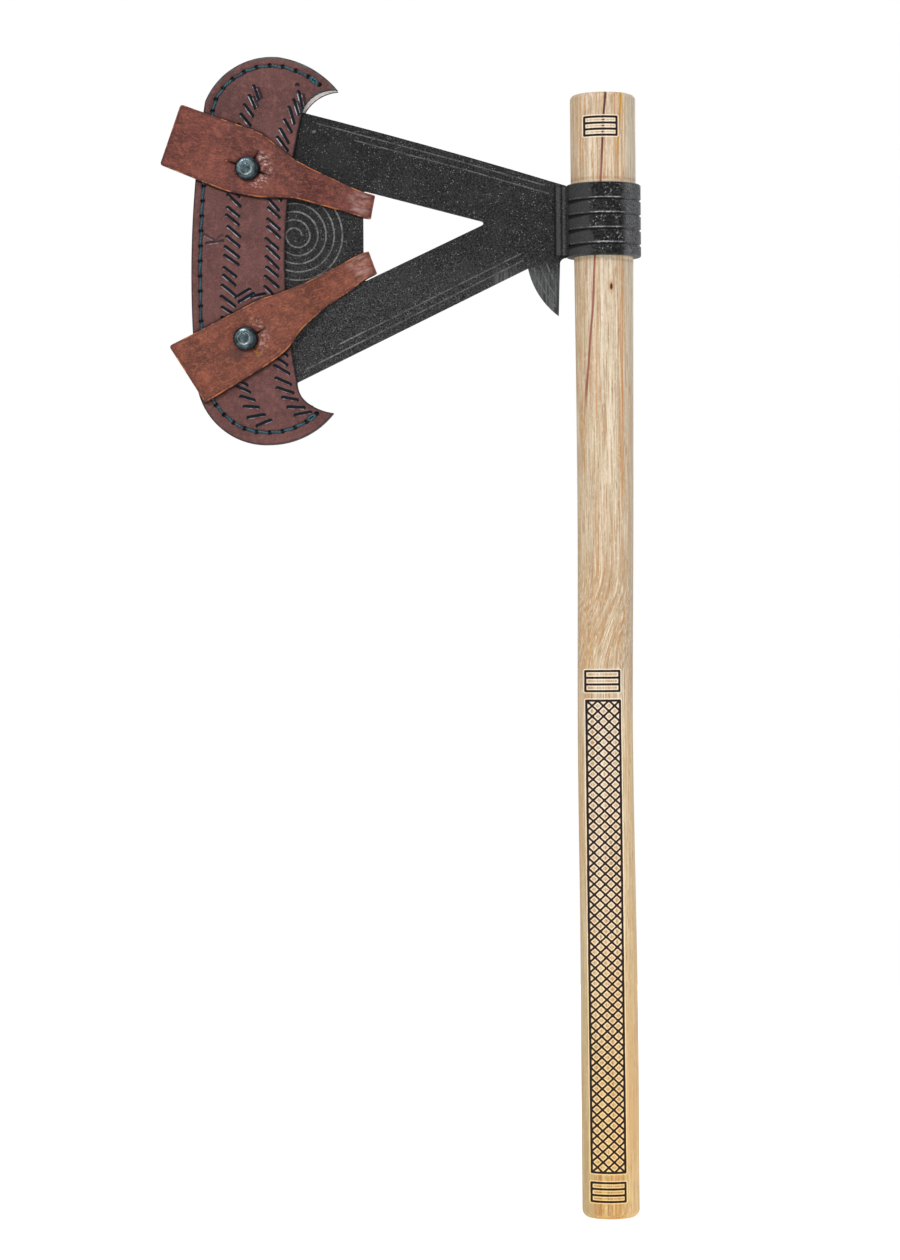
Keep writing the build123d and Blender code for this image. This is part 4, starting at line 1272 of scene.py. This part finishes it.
class LaidStrap:
    """A strap laid flat. Along runs from the fold to the tab's free end, and below 0 to the bend and
    then the tail. Across runs from the fold's lower end to its upper one."""

    def __init__(self, strap):
        lean = math.radians(strap["lean"])
        self.strap = strap
        self.fold = np.array(strap["fold"])
        self.across = np.array((math.sin(lean), math.cos(lean)))
        self.away = np.array((-math.cos(lean), math.sin(lean)))
        self.stud = np.array(self.laid([strap["stud"]])[0])
        self.outline = rounded_outline(self.corners(), 0.8)
        self.free_end = self.outline[:, 0].max()
        # slit headings are given as seen from the front: turn them into the strap's own directions
        self.slits = []
        for heading, reach in strap["slits"]:
            seen = direction(heading)
            turned = math.atan2(seen @ self.across, seen @ self.away)
            self.slits.append((math.degrees(turned), reach))

    def laid(self, points):
        offsets = [np.array(point) - self.fold for point in points]
        return [(offset @ self.away, offset @ self.across) for offset in offsets]

    def corners(self):
        """The outline's (along, across, corner radius), counter-clockwise."""
        tab_top, tab_bottom, tail_top, tail_bottom = (
            self.laid(self.strap[edge]) for edge in ("tab_top", "tab_bottom", "tail_top", "tail_bottom")
        )
        tab = [(*point, GENTLE) for point in tab_top + tab_bottom]
        tab[len(tab_top) - 1] = (*tab_top[-1], TAB_CORNER)
        tab[len(tab_top)] = (*tab_bottom[0], TAB_CORNER)
        tail = [(BEND_END - a, c, GENTLE) for a, c in tail_bottom[::-1] + tail_top[::-1]]
        for end, corner in ((len(tail_bottom) - 1, tail_bottom[0]), (len(tail_bottom), tail_top[-1])):
            tail[end] = (BEND_END - corner[0], corner[1], TAIL_CORNER)
        rounds = [
            (BEND_MARGIN, STRAP_WIDTH, GENTLE), *tab, (BEND_MARGIN, 0.0, GENTLE),
            (BEND_END - BEND_MARGIN, 0.0, GENTLE), *tail, (BEND_END - BEND_MARGIN, STRAP_WIDTH, GENTLE),
        ]
        return rounds[::-1]

    def place(self, flat, height):
        """Wraps flat points round the edge of the head's window: tab in front, tail behind."""
        along, across = flat.T
        on_tab, on_tail = along > 0, along < BEND_END
        travelled = np.where(on_tab, along, np.where(on_tail, BEND_END - along, 0.0))
        x = self.fold[0] + self.away[0] * travelled + self.across[0] * across
        z = self.fold[1] + self.away[1] * travelled + self.across[1] * across
        climb = smoothstep(x, RAMP_START_X, RAMP_END_X)
        front = STRAP_LOW_MIDDLE + (TAB_HIGH_MIDDLE - STRAP_LOW_MIDDLE) * climb
        back = STRAP_LOW_MIDDLE + (TAIL_HIGH_MIDDLE - STRAP_LOW_MIDDLE) * climb
        curl_from = self.stud[0] + CURL_CLEAR_OF_STUD
        curl = CURL * np.clip((along - curl_from) / (self.free_end - curl_from), 0, 1) ** 2
        turn = np.clip(-along / STRAP_LOW_MIDDLE, 0, math.pi)
        reach = STRAP_LOW_MIDDLE + height
        bent = np.where(on_tab | on_tail, 0.0, reach * np.sin(turn))
        behind = np.where(on_tail, back + height, -reach * np.cos(turn))
        y = np.where(on_tab, -(front + height + curl), behind)
        return np.column_stack((x - self.away[0] * bent, y, z - self.away[1] * bent))

    def wear(self, flat):
        """How creased the leather is, beside the stud on the fold's side."""
        offset = flat - self.stud
        reach = np.hypot(*offset.T)
        towards_fold = smoothstep(-offset[:, 0] / np.maximum(reach, 0.1), 0.1, 0.8)
        creased = towards_fold * smoothstep(reach, 6.0, 7.5) * smoothstep(reach, 14.0, 9.0)
        return creased * self.strap["pucker"]

    def bumps(self, flat):
        """Creases beside the stud, a dip round it, and the leather's own waves."""
        offset = flat - self.stud
        reach, turn = np.hypot(*offset.T), np.arctan2(offset[:, 1], offset[:, 0])
        creases = CREASE_HEIGHT * np.sin(turn * CREASES + 0.9 * reach) * self.wear(flat)
        dip = BUTTON_DIP * smoothstep(reach, 9.5, 6.0) * (flat[:, 0] > 0)
        return creases - dip + 0.1 * ripple(flat, 26.0, 11)

    def outer(self, flat):
        return STRAP_THICKNESS / 2 + self.bumps(flat)

    def inner(self, flat):
        return -STRAP_THICKNESS / 2 + 0.5 * self.bumps(flat)


def button_hole(centre, radius, slits):
    """A round hole with narrow slits, as (heading in degrees, how far its tip is from the centre)."""
    turns = list(np.arange(0, 360, 12.0))
    marks = []
    for heading, reach in slits:
        heading %= 360
        turns = [t for t in turns if min(abs(t - heading), 360 - abs(t - heading)) > 6]
        neck = 0.75 * reach
        for off, far in ((-3.2, radius), (-1.1, neck), (0, reach), (1.1, neck), (3.2, radius)):
            marks.append((heading + off, far))
    marks += [(t, radius) for t in turns]
    return np.array([centre + reach * direction(turn) for turn, reach in sorted(marks)])


def make_strap(name, strap, material):
    laid = LaidStrap(strap)
    hole = button_hole(laid.stud, BUTTON_HOLE_RADIUS, laid.slits)
    fine = [(np.vstack(points_round(laid.stud, FINE_RADII, 24)), laid.stud, 14.2)]
    piece, flat = sheet(
        name, laid.outline, [hole], fine, 0.9, laid.outer, laid.inner, laid.place, STRAP_EDGE_ROUND
    )
    offset = flat - laid.stud
    raw = strap["raw_slit"]
    for field, values in (
        ("strap_along", flat[:, 0] * MM),
        ("strap_across", flat[:, 1] * MM),
        ("fold_distance", np.where(flat[:, 0] > -4, flat[:, 0] + 4, 60)),
        ("stud_distance", np.hypot(*offset.T)),
        ("wear", laid.wear(flat)),
        ("smudge", smudge_at(offset, strap["pucker"])),
        ("raw_slit", np.zeros(len(flat)) if raw is None else raw_slit_at(offset, *laid.slits[raw])),
    ):
        store(piece, field, np.tile(values, 2))
    piece.data.materials.append(material)
    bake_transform(piece)
    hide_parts(f"{name}_tab", f"{name}_bend", f"{name}_tail")


def raw_slit_at(offset, heading, reach):
    """Where the freshly cut side of a slit shows its pale leather."""
    along = direction(heading)
    run, side = offset @ along, np.abs(offset @ left_of(along))
    beyond_hole = smoothstep(run, 5.6, 6.2) * smoothstep(run, reach + 0.2, reach - 0.5)
    return smoothstep(side, 0.5, 0.25) * beyond_hole


def smudge_at(offset, pucker):
    """A dark rubbed patch below and outside the stud, and one dark spot, on the less creased strap."""
    rubbed = smoothstep(np.hypot(offset[:, 0] - 8.6, offset[:, 1] + 5.6), 6.0, 2.0)
    spot = smoothstep(np.hypot(offset[:, 0] + 18.5, offset[:, 1] - 12.0), 1.2, 0.6)
    return (1.25 - 1.15 * pucker) * np.maximum(0.9 * rubbed, spot)


# ---- studs ----
STUD_PROFILE = (
    (0.0, 4.3), (6.0, 4.3), (6.3, 4.4), (6.3, 4.75), (6.1, 4.95), (5.4, 5.0), (5.25, 5.2), (5.25, 7.3),
    (5.35, 7.6), (6.0, 7.65), (6.3, 7.85), (6.38, 8.3), (6.38, 8.9), (6.3, 9.3), (6.05, 9.7), (5.6, 10.05),
    (4.9, 10.3), (4.0, 10.48), (3.55, 10.52), (3.35, 10.4), (3.2, 10.2), (3.05, 10.2), (2.9, 10.45),
    (2.7, 10.7), (2.4, 10.78), (1.6, 10.82), (0.8, 10.84), (0.0, 10.85),
)
STUD_LEAN, STUD_TILT, STUD_NECK_FROM, STUD_COLUMNS = 0.42, 0.11, 6.2, 72


def make_stud(name, centre, material):
    """A turned button stud. Its head leans a little towards the cutting edge, as worn ones do."""
    def place(across, up, height):
        lean = STUD_LEAN * np.maximum(height - STUD_NECK_FROM, 0)
        tilt = STUD_TILT * across * smoothstep(height, 7.0, 9.0)
        return np.column_stack((centre[0] + across - lean, -(height + tilt), centre[1] + up))

    turns = np.arange(STUD_COLUMNS) * math.tau / STUD_COLUMNS
    stud = lathe(f"{name}_turned", STUD_PROFILE, turns, place)
    stud.data.flip_normals()
    radii = np.repeat([radius for radius, _ in STUD_PROFILE[1:-1]], len(turns))
    store(stud, "turned_radius", np.concatenate((radii, (0, 0))))
    finish_piece(stud, material, "guard", name)


# ---- stage ----
FLOOR_RADIUS, FLOOR_GLOW, SURROUND_GLOW = 1.3, 0.62, 0.31
WHITE, FLOOR_PAINT = (1, 1, 1, 1), (0.93, 0.93, 0.93, 1)
# each soft box: (place in metres, side in metres, watts)
SOFT_BOXES = {
    "key_left": ((-1.0, -1.9, 1.6), 0.5, 28.0),
    "fill_right": ((1.6, -1.3, 0.8), 1.0, 9.0),
    "top": ((0.0, -0.3, 2.2), 1.4, 14.0),
    "back": ((0.6, 1.8, 1.2), 1.2, 11.0),
}
# the camera, in metres: its distance, height and shift to the right, its roll, and the width in view
CAMERA_DISTANCE, CAMERA_HEIGHT, CAMERA_X, CAMERA_ROLL, SEEN_WIDTH = 2.0, 0.3179, -0.0848, 0.00772, 0.6822


def make_floor():
    """A pale disc that glows a little, so that it is as white as the surround."""
    mesh = bpy.data.meshes.new("floor")
    turns = np.arange(96) * math.tau / 96
    rim = [(FLOOR_RADIUS * math.cos(turn), FLOOR_RADIUS * math.sin(turn), 0.0) for turn in turns]
    mesh.from_pydata(rim, [], [tuple(range(len(rim)))])
    floor = in_scene(bpy.data.objects.new("floor", mesh))
    paint = bpy.data.materials.new("floor_paint")
    paint.use_nodes = True
    shader = paint.node_tree.nodes["Principled BSDF"]
    for name, value in (
        ("Base Color", FLOOR_PAINT), ("Roughness", 0.9), ("Specular IOR Level", 0.1),
        ("Emission Color", WHITE), ("Emission Strength", FLOOR_GLOW),
    ):
        shader.inputs[name].default_value = value
    mesh.materials.append(paint)


def make_surround():
    """White where it is seen, and dimmer as a light."""
    world = bpy.data.worlds.new("studio")
    bpy.context.scene.world = world
    world.use_nodes = True
    nodes, links = world.node_tree.nodes, world.node_tree.links
    nodes.clear()
    output = nodes.new("ShaderNodeOutputWorld")
    either = nodes.new("ShaderNodeMixShader")
    links.new(nodes.new("ShaderNodeLightPath").outputs["Is Camera Ray"], either.inputs[0])
    for socket, glow in ((either.inputs[1], SURROUND_GLOW), (either.inputs[2], 1.0)):
        background = nodes.new("ShaderNodeBackground")
        background.inputs["Color"].default_value = WHITE
        background.inputs["Strength"].default_value = glow
        links.new(background.outputs[0], socket)
    links.new(either.outputs[0], output.inputs["Surface"])


def make_lights():
    """Soft boxes to the left, right, above and behind, all aimed at the object's middle."""
    low, high = cad_box
    for name, (place, size, watts) in SOFT_BOXES.items():
        light = bpy.data.lights.new(name, "AREA")
        light.shape = "SQUARE"
        light.size = size
        light.energy = watts
        lamp = in_scene(bpy.data.objects.new(name, light))
        lamp.location = place
        aim = (low + high) / 2 - lamp.location
        lamp.rotation_euler = aim.to_track_quat("-Z", "Y").to_euler()


def make_camera():
    """Level with the middle of the haft, two metres off, and rolled a touch, as the object was seen."""
    data = bpy.data.cameras.new("camera")
    data.lens = data.sensor_width * CAMERA_DISTANCE / SEEN_WIDTH
    camera = in_scene(bpy.data.objects.new("camera", data))
    camera.location = (CAMERA_X, -CAMERA_DISTANCE, CAMERA_HEIGHT)
    camera.rotation_euler = (math.pi / 2, CAMERA_ROLL, 0)
    bpy.context.scene.camera = camera


make_floor()
make_surround()
make_lights()
make_camera()
bpy.context.scene.view_settings.view_transform = "Standard"

WOOD = wood_material()
BLACK_STEEL = powder_coat_material()
# the guard's flesh tone is pale leather pushed to near white, partly painted light for the strip of it that
# shows at the upper horn
GUARD_TONES = (
    srgb(78, 47, 45), srgb(100, 64, 61), srgb(122, 78, 73), srgb(40, 32, 35), srgb(253, 250, 246),
)
GUARD_LEATHER = leather_material("guard_leather", GUARD_TONES, stamped=True)
UPPER_TONES = srgb(70, 33, 29), srgb(110, 58, 48), srgb(148, 82, 66)
UPPER_STRAP = strap_material("upper_strap_leather", UPPER_TONES)
LOWER_TONES = srgb(82, 42, 32), srgb(120, 64, 49), srgb(156, 90, 65)
LOWER_STRAP = strap_material("lower_strap_leather", LOWER_TONES)
WELT_TONES = (srgb(62, 42, 40), srgb(80, 54, 50), srgb(96, 66, 60), srgb(48, 33, 32), srgb(80, 54, 50))
WELT_LEATHER = leather_material("welt_leather", WELT_TONES)
THREAD = thread_material()
STUD_METAL = metal_material("stud_metal", srgb(46, 60, 67), srgb(102, 118, 125), 0.38, turned=True)
RIVET_METAL = metal_material("rivet_metal", srgb(88, 90, 92), srgb(140, 142, 144), 0.36)

make_haft(WOOD)
DASHES = dash_list()
STITCHES = stitch_points()
make_panel(
    "guard_front", -1, FRONT_MOUTH_ARCS, 1.0, DASHES, STITCHES, GUARD_LEATHER, "sheath_front_panel"
)
make_panel("guard_back", 1, BACK_MOUTH_ARCS, 1.2, [], STITCHES, GUARD_LEATHER, "sheath_back_panel")
make_stitching(STITCHES, THREAD)
make_strap("upper_strap", STRAPS["upper"], UPPER_STRAP)
make_strap("lower_strap", STRAPS["lower"], LOWER_STRAP)
for stud_name in ("upper", "lower"):
    make_stud(f"{stud_name}_stud", STRAPS[stud_name]["stud"], STUD_METAL)

for node, material in (
    ("socket_ring", BLACK_STEEL), ("head_plate", BLACK_STEEL), ("neck_weld_front", BLACK_STEEL),
    ("neck_weld_back", BLACK_STEEL), ("sheath_welt", WELT_LEATHER), ("upper_stud_screw", RIVET_METAL),
    ("lower_stud_screw", RIVET_METAL), ("tail_rivet_caps", RIVET_METAL), ("tail_rivet_posts", RIVET_METAL),
):
    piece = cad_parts[node]
    piece.data.materials.clear()
    piece.data.materials.append(material)
